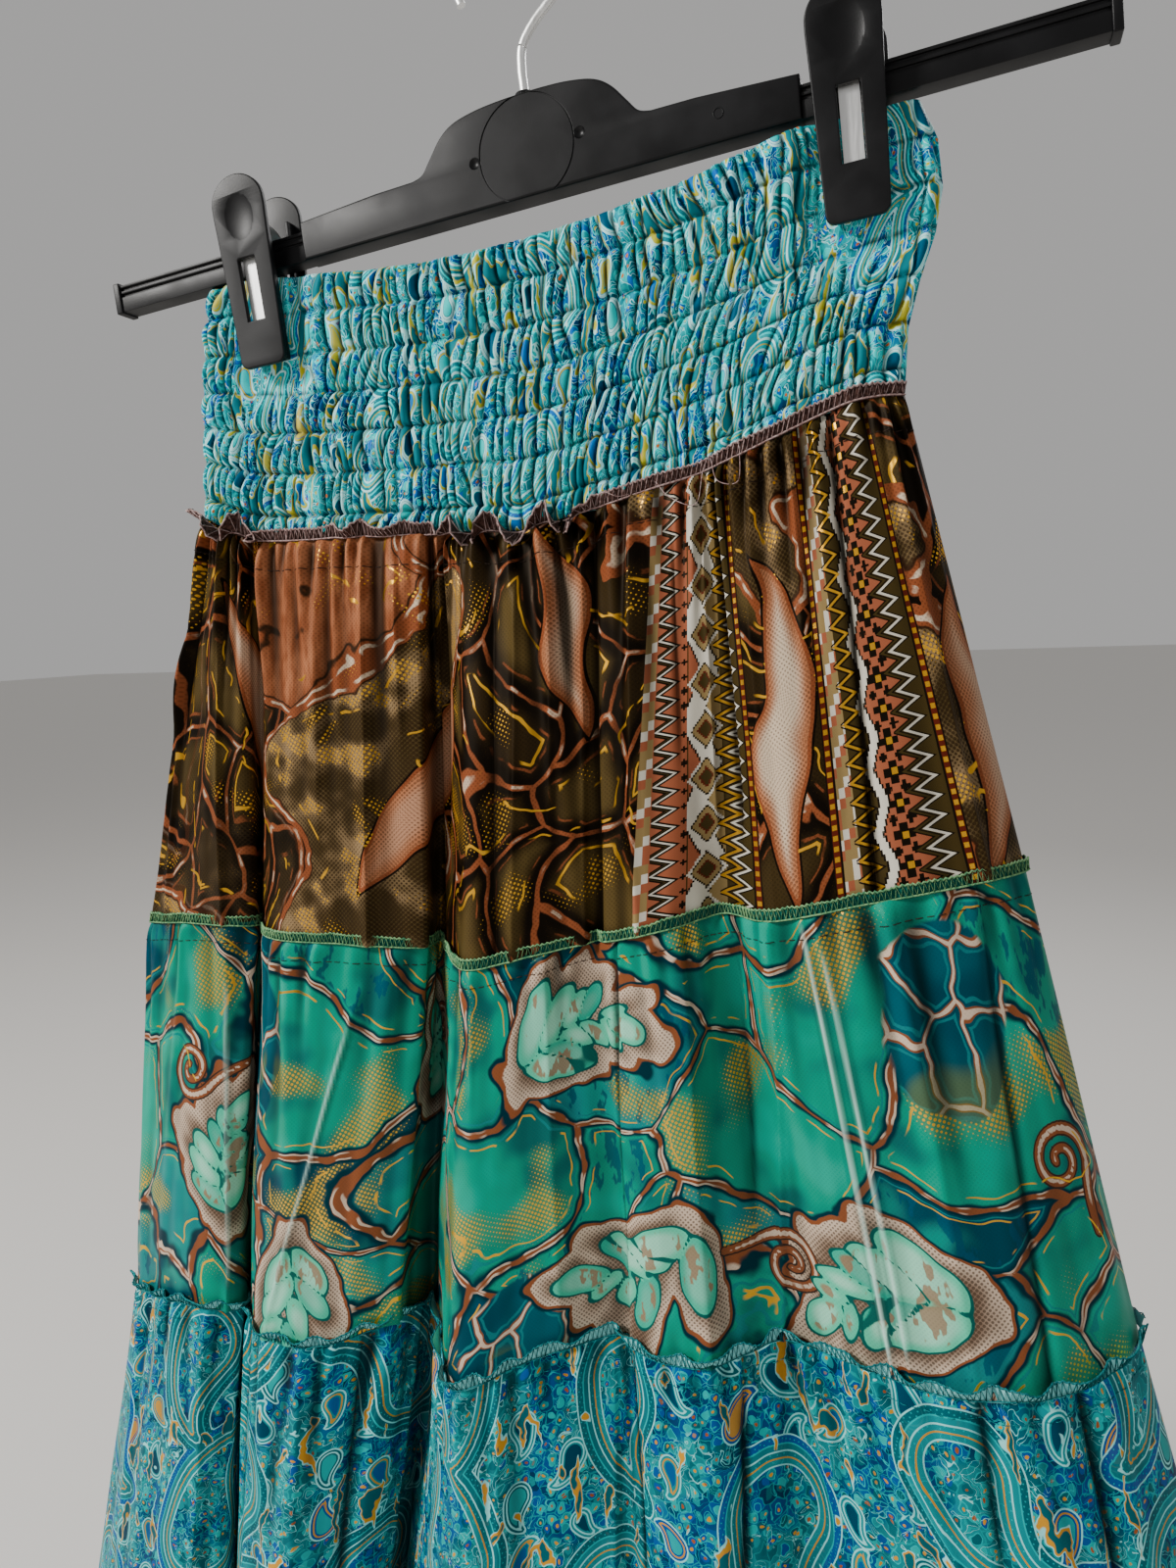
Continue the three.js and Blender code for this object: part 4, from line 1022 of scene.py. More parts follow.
def hollows(H, k, depth):
    """How far each point lies in a narrow hollow between pleats, 0 to 1; used as the strength of painted shade there.
    """
    pad = np.pad(H, ((0, 0), (k, k)), mode="edge")
    c = np.concatenate([np.zeros((H.shape[0], 1)), np.cumsum(pad, axis=1)], axis=1)
    mean = (c[:, 2 * k + 1 :] - c[:, : -2 * k - 1]) / (2 * k + 1)
    return np.clip((mean - H) / depth, 0, 1)


def cloth(name, surface, rows, cols, node, material, attrs, hem=False, top=False, shade_window=8.0, shade_depth=1.5):
    s = np.linspace(0, 1, cols)
    t = np.linspace(0, 1, rows)
    T, S = np.meshgrid(t, s, indexing="ij")
    P, N = surface.at(S, T)
    flat = surface.flat(S, T)
    extra = []
    if hem:  # the bottom edge turns up inside
        for k, (back, up) in enumerate(((0.5, -0.2), (0.9, 1.5), (0.9, 6.0), (0.9, 11.0))):
            tt = np.full(cols, 1.0 - up / surface.height)
            Q, M = surface.at(s, tt, -back)
            extra.append((Q, surface.flat(s, tt)))
        P = np.concatenate([P] + [q[None] for q, _ in extra])
        flat = np.concatenate([flat] + [f[None] for _, f in extra])
    if top:  # the casing folds over and goes down inside
        lead = []
        for back, down in ((2.2, 10.0), (2.2, 5.0), (2.0, 1.5), (1.6, 0.35), (0.9, -0.25)):
            tt = np.full(cols, max(0.0, down) / surface.height)
            Q, M = surface.at(s, tt, -back)
            Q = Q + np.array([0, 0, max(0.0, -down)])
            lead.append((Q, surface.flat(s, tt)))
        P = np.concatenate([q[None] for q, _ in lead] + [P])
        flat = np.concatenate([f[None] for _, f in lead] + [flat])
    R = P.shape[0]
    U, V = flat[..., 0], flat[..., 1]
    H = surface.height_map(S, T)
    # painted shade: how far a point lies in a hollow between pleats sets how much its colour is darkened
    painted_shade = hollows(H, max(2, int(round(shade_window / (surface.width / cols)))), shade_depth)
    pad_top, pad_low = (5 if top else 0), (4 if hem else 0)
    # on the band the elastic rows darken too: their stitching, and painted shade in the dips
    painted_shade = np.maximum(painted_shade ** 0.85, 0.95 * surface.rows_map(S, T)) if top else painted_shade
    # painted shade in the broad fold valleys as well
    B0 = surface.base(S, T)
    deep_y = (B0[..., 1] if surface.front else -B0[..., 1])
    kk = max(2, int(round(34 / (surface.width / cols))))
    painted_shade = np.maximum(painted_shade, 0 if top else 0.95 * hollows(-deep_y, kk, 12.0) ** 1.3)
    painted_shade = np.pad(painted_shade, ((pad_top, pad_low), (0, 0)), mode="edge")
    # flat carries the print place U, V and the painted shade amount
    data = {"flat": np.stack([U, V, painted_shade], -1)}
    if not top:
        # painted highlight along pressed creases and painted shade beside them
        bright, dark = (np.pad(x, ((pad_top, pad_low), (0, 0)), mode="edge") for x in surface.glint_map(S, T))
        data["glint"] = np.stack([bright, dark, bright * 0], -1)
    for key, fn in attrs.items():
        data[key] = fn(U, V, surface)
    obj = mesh_object(name, P, grid_faces(R, cols), data)
    obj.data.materials.append(material)
    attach(obj, "root")
    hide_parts(node)
    return obj


def drops(px, py, size, seed):
    return lambda U, V, surf: np.stack(teardrops(U + 20, V + 20, px, py, size, seed), -1)


def stripe_field(a0, a1, b0, b1):
    """Places across the two border stripes in millimetres; each limit is (u at the top, u at the bottom)."""
    def field(U, V, surf):
        t = np.clip(V / surf.height, 0, 1)
        out = []
        for lo, hi in ((a0, a1), (b0, b1)):
            x0 = surf.run.s_of_u(lo[0] + (lo[1] - lo[0]) * t) * surf.width
            x1 = surf.run.s_of_u(hi[0] + (hi[1] - hi[0]) * t) * surf.width
            out.append((U - x0) / (x1 - x0) * 46.5)
        out.append(np.zeros_like(U))
        return np.stack(out, -1)
    return field


def at_u(surf, u):
    return float(surf.run.s_of_u(u) * surf.width)


def petals(rows):
    def field(U, V, surf):
        d, n = lenses(U + 11 * (noise2(U / 34, V / 26, 5) - 0.5) + 3 * (noise2(U / 9, V / 12, 6) - 0.5), V, [(at_u(surf, u), v, a, b, deg) for u, v, a, b, deg in rows])
        return np.stack([d, n, np.zeros_like(d)], -1)
    return field


def leaf_sprays(centres, seed):
    """Fans of leaves round centres (u, v, size, degrees)."""
    def field(U, V, surf):
        rng = np.random.RandomState(seed)
        rows = []
        for u, v, size, deg in centres:
            x, y, a = at_u(surf, u), v, math.radians(deg)
            turn = rng.choice([-1, 1]) * math.radians(11)
            for k in range(5):
                fat = size * 0.25 * (1 - 0.12 * k) * rng.uniform(0.88, 1.15)
                for side in (-1, 1):
                    if rng.rand() < 0.12:
                        continue
                    b = a + side * math.radians(rng.uniform(26, 46))
                    rows.append((x + math.cos(b) * fat * 1.08, y + math.sin(b) * fat * 1.08, fat, fat * rng.uniform(0.36, 0.48), math.degrees(b)))
                x, y = x + math.cos(a) * size * 0.175, y + math.sin(a) * size * 0.175
                a += turn
            rows.append((x + math.cos(a) * size * 0.08, y + math.sin(a) * size * 0.08, size * 0.18, size * 0.09, math.degrees(a)))
        d, num, gap = ovals(U + 1.6 * (noise2(U / 7, V / 7, 3) - 0.5), V + 1.6 * (noise2(U / 7, V / 7, 4) - 0.5), rows)
        return np.stack([d, num, gap], -1)
    return field


def scrolls(rows, patches):
    """Distance to spiral stems (u, v, radius, turn direction, start degrees), and how far inside the patches (u, v, half sizes)."""
    def field(U, V, surf):
        best = np.full(U.shape, 1e3)
        for u, v, r0, way, deg in rows:
            cx = at_u(surf, u)
            pts = []
            for k in range(60):
                f = k / 59
                a = math.radians(deg) + way * f * 2 * math.pi * 1.6
                r = r0 * (1 - 0.86 * f)
                pts.append((cx + r * math.cos(a), v + r * math.sin(a), 1.9 - 0.9 * f))
            a = math.radians(deg)
            x, y = cx + r0 * math.cos(a), v + r0 * math.sin(a)
            for k in range(1, 16):
                f = k / 15
                pts.append((x + way * r0 * 1.8 * f * math.sin(a) + r0 * 0.5 * f * f * math.cos(a), y - way * r0 * 1.8 * f * math.cos(a) + r0 * 0.5 * f * f * math.sin(a), 1.9 - 0.7 * f))
            for x, y, w in pts:
                m = (np.abs(U - x) < 9) & (np.abs(V - y) < 9)
                best[m] = np.minimum(best[m], np.hypot(U[m] - x, V[m] - y) - w)
        fine = np.full(U.shape, -50.0)
        for u, v, a, b in patches:
            r = np.hypot((U - at_u(surf, u)) / a, (V - v) / b) + 0.35 * (noise2(U / 16, V / 16, 12) - 0.5)
            fine = np.maximum(fine, (1 - r) * min(a, b))
        return np.stack([best, fine, np.zeros_like(best)], -1)
    return field


mat_band = paisley_material("paisley_band", 4.2, 1.85, 0.84, 0.66, 1.6)
mat_hem = paisley_material("paisley_tier", 5.0, 1.0, 0.95, 0.735, 1.0)
mat_brown = brown_material("pebbled_print", True)
mat_teal = teal_material("veined_print")

tier_drops = {"drop_large": drops(84, 88, 76, 3), "drop_small": drops(27, 30, 19, 4)}
band_drops = {"drop_large": drops(58, 46, 30, 6), "drop_small": drops(23, 19, 13, 7)}
front_petals = petals([(14.40, 96, 58, 10.0, 91), (2.4, 60, 46, 10, 62), (6.6, 96, 50, 11, 122), (9.6, 40, 40, 8, 80), (16.72, 110, 50, 9, 95)])
back_petals = petals([(18.6, 60, 36, 11, 100), (21.2, 120, 32, 11, 50), (25.4, 50, 36, 11, 80), (27.2, 118, 30, 10, 130)])
front_stripes = stripe_field((11.95, 11.5), (13.9, 13.95), (14.95, 14.75), (16.05, 16.2))
back_stripes = stripe_field((22.3, 22.2), (23.3, 23.35), (23.8, 23.8), (24.8, 24.85))
front_sprays = leaf_sprays([(4.6, 122, 56, 80), (8.9, 44, 60, -35), (12.0, 112, 64, 130), (15.3, 134, 60, 190), (6.7, 24, 40, 60), (1.7, 118, 46, 250)], 8)
back_sprays = leaf_sprays([(18.9, 60, 56, 80), (21.3, 116, 58, -60), (23.6, 44, 54, 140), (26.3, 108, 58, 10)], 9)
front_scrolls = scrolls([(1.0, 60, 12, 1, 40), (7.1, 34, 11, -1, 200), (13.3, 132, 12, 1, 250), (16.4, 92, 12, -1, 20)], [(3.6, 40, 26, 50), (9.0, 150, 30, 26), (15.6, 40, 24, 30)])
back_scrolls = scrolls([(20.2, 40, 12, 1, 30), (22.6, 132, 12, -1, 160), (25.2, 70, 12, 1, 280)], [(19.8, 110, 34, 40), (24.6, 40, 30, 34)])

waist_front = cloth("waistband_front_cloth", band_f, 136, 600, "waistband_front", mat_band, band_drops, top=True, shade_window=2.3, shade_depth=0.85)
waist_back = cloth("waistband_back_cloth", band_b, 84, 360, "waistband_back", mat_band, band_drops, top=True, shade_window=2.3, shade_depth=0.85)
brown_front = cloth("tier1_front_cloth", tier1_f, 110, 560, "tier1_front", mat_brown, {"petal": front_petals, "stripe": front_stripes})
brown_back = cloth("tier1_back_cloth", tier1_b, 70, 320, "tier1_back", mat_brown, {"petal": back_petals, "stripe": back_stripes})
teal_front = cloth("tier2_front_cloth", tier2_f, 110, 560, "tier2_front", mat_teal, {"leaf": front_sprays, "curl": front_scrolls})
teal_back = cloth("tier2_back_cloth", tier2_b, 70, 320, "tier2_back", mat_teal, {"leaf": back_sprays, "curl": back_scrolls})
hem_front = cloth("tier3_front_cloth", tier3_f, 110, 600, "tier3_front", mat_hem, tier_drops, hem=True)
hem_back = cloth("tier3_back_cloth", tier3_b, 70, 340, "tier3_back", mat_hem, tier_drops, hem=True)


# ------------------------------------------------------------------ seams and threads
class Lip:
    """The trimmed, oversewn edge of a seam, lying up over the piece above it."""

    def __init__(self, surf, u0, u1, high, out, frill, seed, v_drop=0.6):
        self.surf, self.high, self.out, self.frill, self.seed = surf, high, out, frill, seed
        self.s0, self.s1 = float(surf.run.s_of_u(u0)), float(surf.run.s_of_u(u1))
        self.drop = v_drop

    def at(self, f, k):
        """f along the seam 0 to 1, k up the lip 0 to 1."""
        f, k = np.broadcast_arrays(np.asarray(f, float), np.asarray(k, float))
        s = self.s0 + (self.s1 - self.s0) * f
        U = s * self.surf.width
        fr = self.frill(s, self.surf)
        wave = np.sin(U * 2 * np.pi / 11 + 5 * noise2(U / 19, 0.5, self.seed)) * 0.6 + 1.4 * (noise2(U / 5.5, 1.5, self.seed + 1) - 0.5)
        tall = self.high * (1 + 0.25 * (noise2(U / 8, 2.5, self.seed + 2) - 0.5) - 0.25 * fr * (1 + wave))
        t = 1 - (k * tall - self.drop) / self.surf.height
        P = self.surf.base(s, np.clip(t, 0, 1))
        over = np.clip(t - 1, 0, None) * self.surf.height
        e = 0.0015
        down = self.surf.base(s, np.clip(t, 0.02, 1)) - self.surf.base(s, np.clip(t, 0.02, 1) - 0.02)
        across = self.surf.base(np.clip(s + e, 0, 1), t) - self.surf.base(np.clip(s - e, 0, 1), t)
        n = np.cross(down, across)
        n /= np.linalg.norm(n, axis=-1, keepdims=True)
        dn = down / np.linalg.norm(down, axis=-1, keepdims=True)
        h = self.surf.height_map(s, np.clip(t, 0, 1))
        slow = np.sin(U * 2 * np.pi / 19 + 4 * noise2(U / 33, 3.5, self.seed + 3))
        theta = fr * np.radians(85 + 62 * slow + 24 * wave)
        grow = 1 + 0.95 * fr
        rise = k * tall * grow
        hug = self.out + np.maximum(h, -0.4) * (0.35 + 0.3 * (1 - k)) + 0.4 * wave * k * (1 - fr)
        seam = self.surf.base(s, np.ones_like(s) * (1 - 0.2 / self.surf.height))
        free = seam + n * (self.out + rise * np.sin(theta))[..., None] - dn * (rise * np.cos(theta) - self.drop)[..., None]
        lying = P + dn * over[..., None] + n * hug[..., None]
        w = smooth(0.05, 0.3, fr)[..., None]
        return lying * (1 - w) + free * w, n


def lip_pieces(name, lip, cloth_mat, thread_mat, pitch, radius, cols):
    f = np.linspace(0, 1, cols)
    k = np.linspace(0, 1, 6)
    K, F = np.meshgrid(k[::-1], f, indexing="ij")
    P, N = lip.at(F, K)
    U = F * lip.surf.width
    V = (1 - K) * lip.high
    parts_v = [P.reshape(-1, 3)]
    ribbon = mesh_object(name + "_edge", P, grid_faces(6, cols), {"flat": np.stack([U, V, np.zeros_like(U)], -1)})
    ribbon.data.materials.append(cloth_mat)
    n = int(lip.surf.width * abs(lip.s1 - lip.s0) / pitch)
    rng = np.random.RandomState(lip.seed)
    i = np.arange(2 * n)
    ff = (i / (2 * n - 1)) + rng.uniform(-0.16, 0.16, 2 * n) / (2 * n)
    kk = np.where(i % 2 == 0, 0.10, 1.0) + rng.uniform(-0.05, 0.05, 2 * n)
    Q, M = lip.at(np.clip(ff, 0, 1), kk)
    parts = [tube(Q + M * (radius + 0.05), radius, 4)]
    wrap, M = lip.at(np.clip(ff, 0, 1), np.where(i % 2 == 0, 0.92, 1.06) + rng.uniform(-0.03, 0.03, 2 * n))
    parts.append(tube(wrap + M * (radius + 0.12), radius * 1.15, 4))
    m = n
    g = np.linspace(0, 1, m)
    Q, M = lip.at(g, np.full(m, 0.12))
    parts.append(tube(Q + M * (radius + 0.15), radius, 4))
    threads = joined(name + "_thread", parts)
    threads.data.materials.append(thread_mat)
    return [ribbon, threads]


def dashes(surf, u0, u1, down, length, gap, radius, seed, lift=0.15):
    """A line of running stitches down millimetres below the top of a piece."""
    rng = np.random.RandomState(seed)
    s0, s1 = float(surf.run.s_of_u(u0)), float(surf.run.s_of_u(u1))
    total = (s1 - s0) * surf.width
    parts = []
    x = 0.0
    while x < total - length:
        L = length * rng.uniform(0.85, 1.15)
        s = s0 + (x + np.linspace(0, L, 5)) / surf.width
        d = down + 0.8 * (noise2(x / 40, 0.5, seed) - 0.5)
        P, N = surf.at(s, np.full(5, d / surf.height))
        arch = np.array([-0.25, 1, 1.2, 1, -0.25])[:, None] * lift
        parts.append(tube(P + N * arch, radius, 4))
        x += L + gap * rng.uniform(0.8, 1.2)
    return parts


def loose_thread(points, radius=0.14):
    p = catmull_open(np.array(points, float), 40)
    return tube(p, radius, 5)


def catmull_open(p, n):
    p = np.vstack([2 * p[0] - p[1], p, 2 * p[-1] - p[-2]])
    out = []
    m = len(p) - 3
    for f in np.linspace(0, m - 1e-6, n):
        i = int(f)
        t = f - i
        a, b, c, d = p[i : i + 4]
        out.append(0.5 * (2 * b + (c - a) * t + (2 * a - 5 * b + 4 * c - d) * t * t + (3 * b - a - 3 * c + d) * t ** 3))
    return np.array(out)


mat_mauve = thread_material("mauve_thread", (0.560, 0.420, 0.400), (0.230, 0.130, 0.120))
mat_mauve_edge = thread_material("mauve_edge", (0.100, 0.048, 0.038), (0.022, 0.010, 0.008))
mat_green = thread_material("green_thread", (0.300, 0.520, 0.230), (0.050, 0.200, 0.100))
mat_tealth = thread_material("teal_thread", (0.010, 0.270, 0.285), (0.0, 0.090, 0.105))
mat_dark = thread_material("dark_thread", (0.050, 0.032, 0.024), (0.016, 0.010, 0.008))


def waist_frill(s, surf):
    u = surf.run.u_of(np.clip(s, 0, 1))
    front = surf.front
    if not front:
        return 0.35 * smooth(FRONT_SPAN + 0.2, FRONT_SPAN + 1.4, u) * (1 - smooth(END - 1.4, END - 0.2, u))
    left = (1 - smooth(2.2, 4.5, u)) * smooth(0.0, 0.5, u)
    mid = smooth(6.3, 7.4, u) * (1 - smooth(10.0, 10.9, u))
    return np.clip(0.95 * left + 1.0 * mid + 0.35 * smooth(4.6, 5.4, u) * (1 - smooth(5.6, 6.2, u)) + 0.12 * (1 - smooth(15.8, 16.8, u)), 0, 1)


def low_frill(a):
    return lambda s, surf: np.full(np.shape(s), a)


END = N_LINES - 0.02
lips = {
    "waist_front": lip_pieces("waist_seam_front", Lip(band_f, 0.12, FRONT_SPAN - 0.22, 4.6, 1.9, waist_frill, 61), mat_mauve_edge, mat_mauve, 1.75, 0.31, 900),
    "waist_back": lip_pieces("waist_seam_back", Lip(band_b, FRONT_SPAN + 0.25, END - 0.2, 4.6, 1.2, waist_frill, 62), mat_mauve_edge, mat_mauve, 1.9, 0.24, 360),
    "tier1_front": lip_pieces("tier1_seam_front", Lip(tier1_f, 0.05, FRONT_SPAN - 0.05, 4.3, 0.9, low_frill(0.10), 63), mat_teal, mat_green, 1.7, 0.32, 700),
    "tier1_back": lip_pieces("tier1_seam_back", Lip(tier1_b, FRONT_SPAN + 0.05, END, 4.3, 0.9, low_frill(0.10), 64), mat_teal, mat_green, 2.1, 0.23, 400),
    "tier2_front": lip_pieces("tier2_seam_front", Lip(tier2_f, 0.05, FRONT_SPAN - 0.05, 4.6, 0.9, low_frill(0.28), 65), mat_hem, mat_tealth, 1.8, 0.30, 800),
    "tier2_back": lip_pieces("tier2_seam_back", Lip(tier2_b, FRONT_SPAN + 0.05, END, 4.6, 0.9, low_frill(0.28), 66), mat_hem, mat_tealth, 2.2, 0.23, 440),
}
stitches = {}
for key, surf, u0, u1, down, mat in (
    ("tier1_front", tier1_f, 0.1, FRONT_SPAN - 0.1, 11.5, mat_dark),
    ("tier1_back", tier1_b, FRONT_SPAN + 0.1, END, 11.5, mat_dark),
    ("tier2_front", tier2_f, 0.1, FRONT_SPAN - 0.1, 7.5, mat_dark),
    ("tier2_back", tier2_b, FRONT_SPAN + 0.1, END, 7.5, mat_dark),
    ("tier3_front", tier3_f, 0.1, FRONT_SPAN - 0.1, 7.0, mat_tealth),
    ("tier3_back", tier3_b, FRONT_SPAN + 0.1, END, 7.0, mat_tealth),
):
    o = joined(key + "_gather_stitches", dashes(surf, u0, u1, down, 2.6, 1.3, 0.16, 71 + len(stitches)))
    o.data.materials.append(mat)
    stitches[key] = o


def row_frame(x, y, z):
    """A point of the level hanger, in the row frame."""
    y, z = y - 5, z - SEAT
    return np.array([math.cos(TILT) * x - math.sin(TILT) * z, y, math.sin(TILT) * x + math.cos(TILT) * z])


P0, N0 = band_f.at(np.array([0.70, 0.76, 0.80, 0.62]), np.array([0.985, 0.97, 0.975, 0.99]))
a, b, c, d = P0
loose = joined("loose_threads", [
    loose_thread([a + [0, -2.5, 0], a + [6, -7, -6], a + [15, -8, -9], b + [0, -6, -4], b + [1, -2.5, 1]]),
    loose_thread([b + [2, -2.5, 1], b + [5, -6, -7], b + [12, -7, -8], c + [2, -5, -2], c + [1, -2.5, 2]]),
    loose_thread([d + [0, -2.5, 0], d + [3, -6, 4], d + [9, -6, 2], d + [13, -2.5, 3]], 0.12),
])
loose.data.materials.append(mat_mauve)

for group in lips.values():
    for o in group:
        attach(o, "root")
for o in list(stitches.values()) + [loose]:
    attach(o, "root")

# ------------------------------------------------------------------ the clip hanger
plastic, steel = plastic_material(), steel_material()


def smooth_by_angle(obj, degrees=32):
    me = obj.data
    me.polygons.foreach_set("use_smooth", np.full(len(me.polygons), True))
    me.set_sharp_from_angle(angle=math.radians(degrees))


def outline_mesh(name, loops, depth, bevel, steps=4):
    """A flat outline (x, z) made into a plate with rounded edges; it lies in y from 0 to depth."""
    cu = bpy.data.curves.new(name, "CURVE")
    cu.dimensions = "2D"
    cu.fill_mode = "BOTH"
    cu.extrude = (depth / 2 - bevel) * MM
    cu.bevel_depth = bevel * MM
    cu.bevel_resolution = steps
    for loop in loops:
        sp = cu.splines.new("POLY")
        sp.points.add(len(loop) - 1)
        for p, (x, z) in zip(sp.points, loop):
            p.co = (x * MM, z * MM, 0, 1)
        sp.use_cyclic_u = True
    ob = bpy.data.objects.new(name, cu)
    bpy.context.scene.collection.objects.link(ob)
    dg = bpy.context.evaluated_depsgraph_get()
    me = bpy.data.meshes.new_from_object(ob.evaluated_get(dg))
    bpy.data.objects.remove(ob)
    co = np.zeros(len(me.vertices) * 3)
    me.vertices.foreach_get("co", co)
    co = co.reshape(-1, 3)
    out = np.stack([co[:, 0], -co[:, 2] + depth / 2 * MM, co[:, 1]], -1)
    me.vertices.foreach_set("co", out.ravel())
    me.update()
    return collection_add(bpy.data.objects.new(name, me))


def cut(obj, tool, how="DIFFERENCE"):
    m = obj.modifiers.new("cut", "BOOLEAN")
    m.operation, m.object, m.solver = how, tool, "EXACT"
    bpy.context.view_layer.update()
    me = bpy.data.meshes.new_from_object(obj.evaluated_get(bpy.context.evaluated_depsgraph_get()))
    obj.modifiers.clear()
    obj.data = me
    bpy.data.objects.remove(tool)


def box_mesh(name, x0, x1, y0, y1, z0, z1, bevel=0.0):
    v = [(x, y, z) for x in (x0, x1) for y in (y0, y1) for z in (z0, z1)]
    f = [(0, 1, 3, 2), (4, 6, 7, 5), (0, 4, 5, 1), (2, 3, 7, 6), (0, 2, 6, 4), (1, 5, 7, 3)]
    o = mesh_object(name, v, f, flat_shade=True)
    if bevel:
        m = o.modifiers.new("b", "BEVEL")
        m.width, m.segments, m.limit_method = bevel * MM, 3, "NONE"
        bpy.context.view_layer.update()
        me = bpy.data.meshes.new_from_object(o.evaluated_get(bpy.context.evaluated_depsgraph_get()))
        o.modifiers.clear()
        o.data = me
    return o


def ball(name, cx, cy, cz, rx, ry, rz):
    bpy.ops.mesh.primitive_uv_sphere_add(segments=48, ring_count=24, radius=1)
    o = bpy.context.object
    o.name = name
    co = np.zeros(len(o.data.vertices) * 3)
    o.data.vertices.foreach_get("co", co)
    co = co.reshape(-1, 3) * [rx * MM, ry * MM, rz * MM] + np.array([cx, cy, cz]) * MM
    o.data.vertices.foreach_set("co", co.ravel())
    o.data.update()
    return o


def arc_points(cx, cz, r, a0, a1, n, rz=None):
    rz = r if rz is None else rz
    return [(cx + r * math.cos(math.radians(a0 + (a1 - a0) * i / n)), cz + rz * math.sin(math.radians(a0 + (a1 - a0) * i / n))) for i in range(n + 1)]


def clip_arm(name):
    """An arm in its own frame: x across, y from its front face backwards, z from the bar's middle."""
    wt, wb, low, sh, top = 11.0, 9.4, -42.0, 17.4, 25.4
    loop = []
    loop += arc_points(-wb + 2.6, low + 2.6, 2.6, 180, 270, 6)
    loop += arc_points(wb - 2.6, low + 2.6, 2.6, 270, 360, 6)
    loop += [(wb + 0.15, low + 8), (wt - 0.4, sh - 14), (wt, sh - 4)]
    loop += arc_points(0, sh - 2, wt, 8, 172, 26, top - sh + 2)
    loop += [(-wt, sh - 4), (-wt + 0.4, sh - 14), (-wb - 0.15, low + 8)]
    hole = [(-4.2, -26.4), (4.2, -26.4), (4.2, -3.6), (3.6, -2.9), (-3.6, -2.9), (-4.2, -3.6)]
    o = outline_mesh(name, [loop, hole[::-1]], 2.2, 0.55)
    # thumb dish cut into the face
    cut(o, ball("dish", 0, -2.05, 11.0, 8.6, 3.1, 11.2))
    return o


def extrusion(name, profile, x0, x1, bevel):
    """A closed (y, z) profile run from x0 to x1, with softened edges."""
    n = len(profile)
    v = [(x, y, z) for x in (x0, x1) for y, z in profile]
    f = [tuple(range(n)), tuple(range(2 * n - 1, n - 1, -1))] + [(i, n + i, n + (i + 1) % n, (i + 1) % n) for i in range(n)]
    me = bpy.data.meshes.new(name)
    me.from_pydata([tuple(c * MM for c in q) for q in v], [], f)
    me.update()
    return softened(collection_add(bpy.data.objects.new(name, me)), bevel)


def softened(o, bevel, segments=3):
    m = o.modifiers.new("b", "BEVEL")
    m.width, m.segments, m.limit_method, m.angle_limit = bevel * MM, segments, "ANGLE", math.radians(35)
    bpy.context.view_layer.update()
    me = bpy.data.meshes.new_from_object(o.evaluated_get(bpy.context.evaluated_depsgraph_get()))
    o.modifiers.clear()
    o.data = me
    return o


def lathe(name, profile, cx, cy, steps=40):
    """A turned piece about a vertical axis, from (radius, z) rows."""
    a = np.arange(steps) / steps * 2 * np.pi
    v = [(cx + r * math.cos(t), cy + r * math.sin(t), z) for r, z in profile for t in a]
    f = [(i * steps + k, i * steps + (k + 1) % steps, (i + 1) * steps + (k + 1) % steps, (i + 1) * steps + k) for i in range(len(profile) - 1) for k in range(steps)]
    f += [tuple(range(steps))[::-1], tuple((len(profile) - 1) * steps + k for k in range(steps))]
    me = bpy.data.meshes.new(name)
    me.from_pydata([tuple(c * MM for c in q) for q in v], [], f)
    me.update()
    return collection_add(bpy.data.objects.new(name, me))


def as_one(name, pieces, look, node, degrees=32):
    """Join pieces made in the level hanger's frame, and set them in the row frame."""
    vs, fs, off = [], [], 0
    for q in pieces:
        co = np.zeros(len(q.data.vertices) * 3)
        q.data.vertices.foreach_get("co", co)
        vs.append(co.reshape(-1, 3))
        fs += [tuple(i + off for i in f.vertices) for f in q.data.polygons]
        off += len(q.data.vertices)
        bpy.data.objects.remove(q)
    v = np.vstack(vs) / MM
    x, y, z = v[:, 0], v[:, 1] - 5, v[:, 2] - SEAT
    w = np.stack([math.cos(TILT) * x - math.sin(TILT) * z, y, math.sin(TILT) * x + math.cos(TILT) * z], -1)
    me = bpy.data.meshes.new(name)
    me.from_pydata((w * MM).tolist(), [], fs)
    me.update()
    o = collection_add(bpy.data.objects.new(name, me))
    smooth_by_angle(o, degrees)
    me.materials.append(look)
    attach(o, "root")
    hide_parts(node)
    return o


BODY_HALF, BAR_HALF = 92.4, 184.6
HOOK_R, WIRE_R = 20.0, 1.6
SHOULDER = [(BODY_HALF, 5.6), (60, 7.6), (48, 7.8), (44, 8.0), (40, 9.4), (36.5, 13.5), (31.5, 19.4), (26, 22.8), (17.5, 24.6), (8, 25.3), (0, 25.4)]
half_top = catmull_open(np.array(SHOULDER[1:], float), 60)
half_top = np.vstack([[SHOULDER[0]], half_top])
body_loop = [(-BODY_HALF, -6.2), (BODY_HALF, -6.2)] + [tuple(q) for q in half_top] + [(-x, z) for x, z in half_top[::-1][1:]]
body = outline_mesh("bar_body", [body_loop], 10.0, 0.9, 3)
groove = outline_mesh("pad_ring", [arc_points(0, 8.3, 17.8, 0, 354, 59), arc_points(0, 8.3, 17.35, 0, 354, 59)[::-1]], 1.2, 0.05, 1)
groove.data.transform(Matrix.Translation((0, -0.00085, 0)))
cut(body, groove)
for side in (-1, 1):
    cut(body, ball("dimple", side * 19.7, -1.35, 8.3, 2.5, 2.3, 2.5))
bar_pieces = [body]
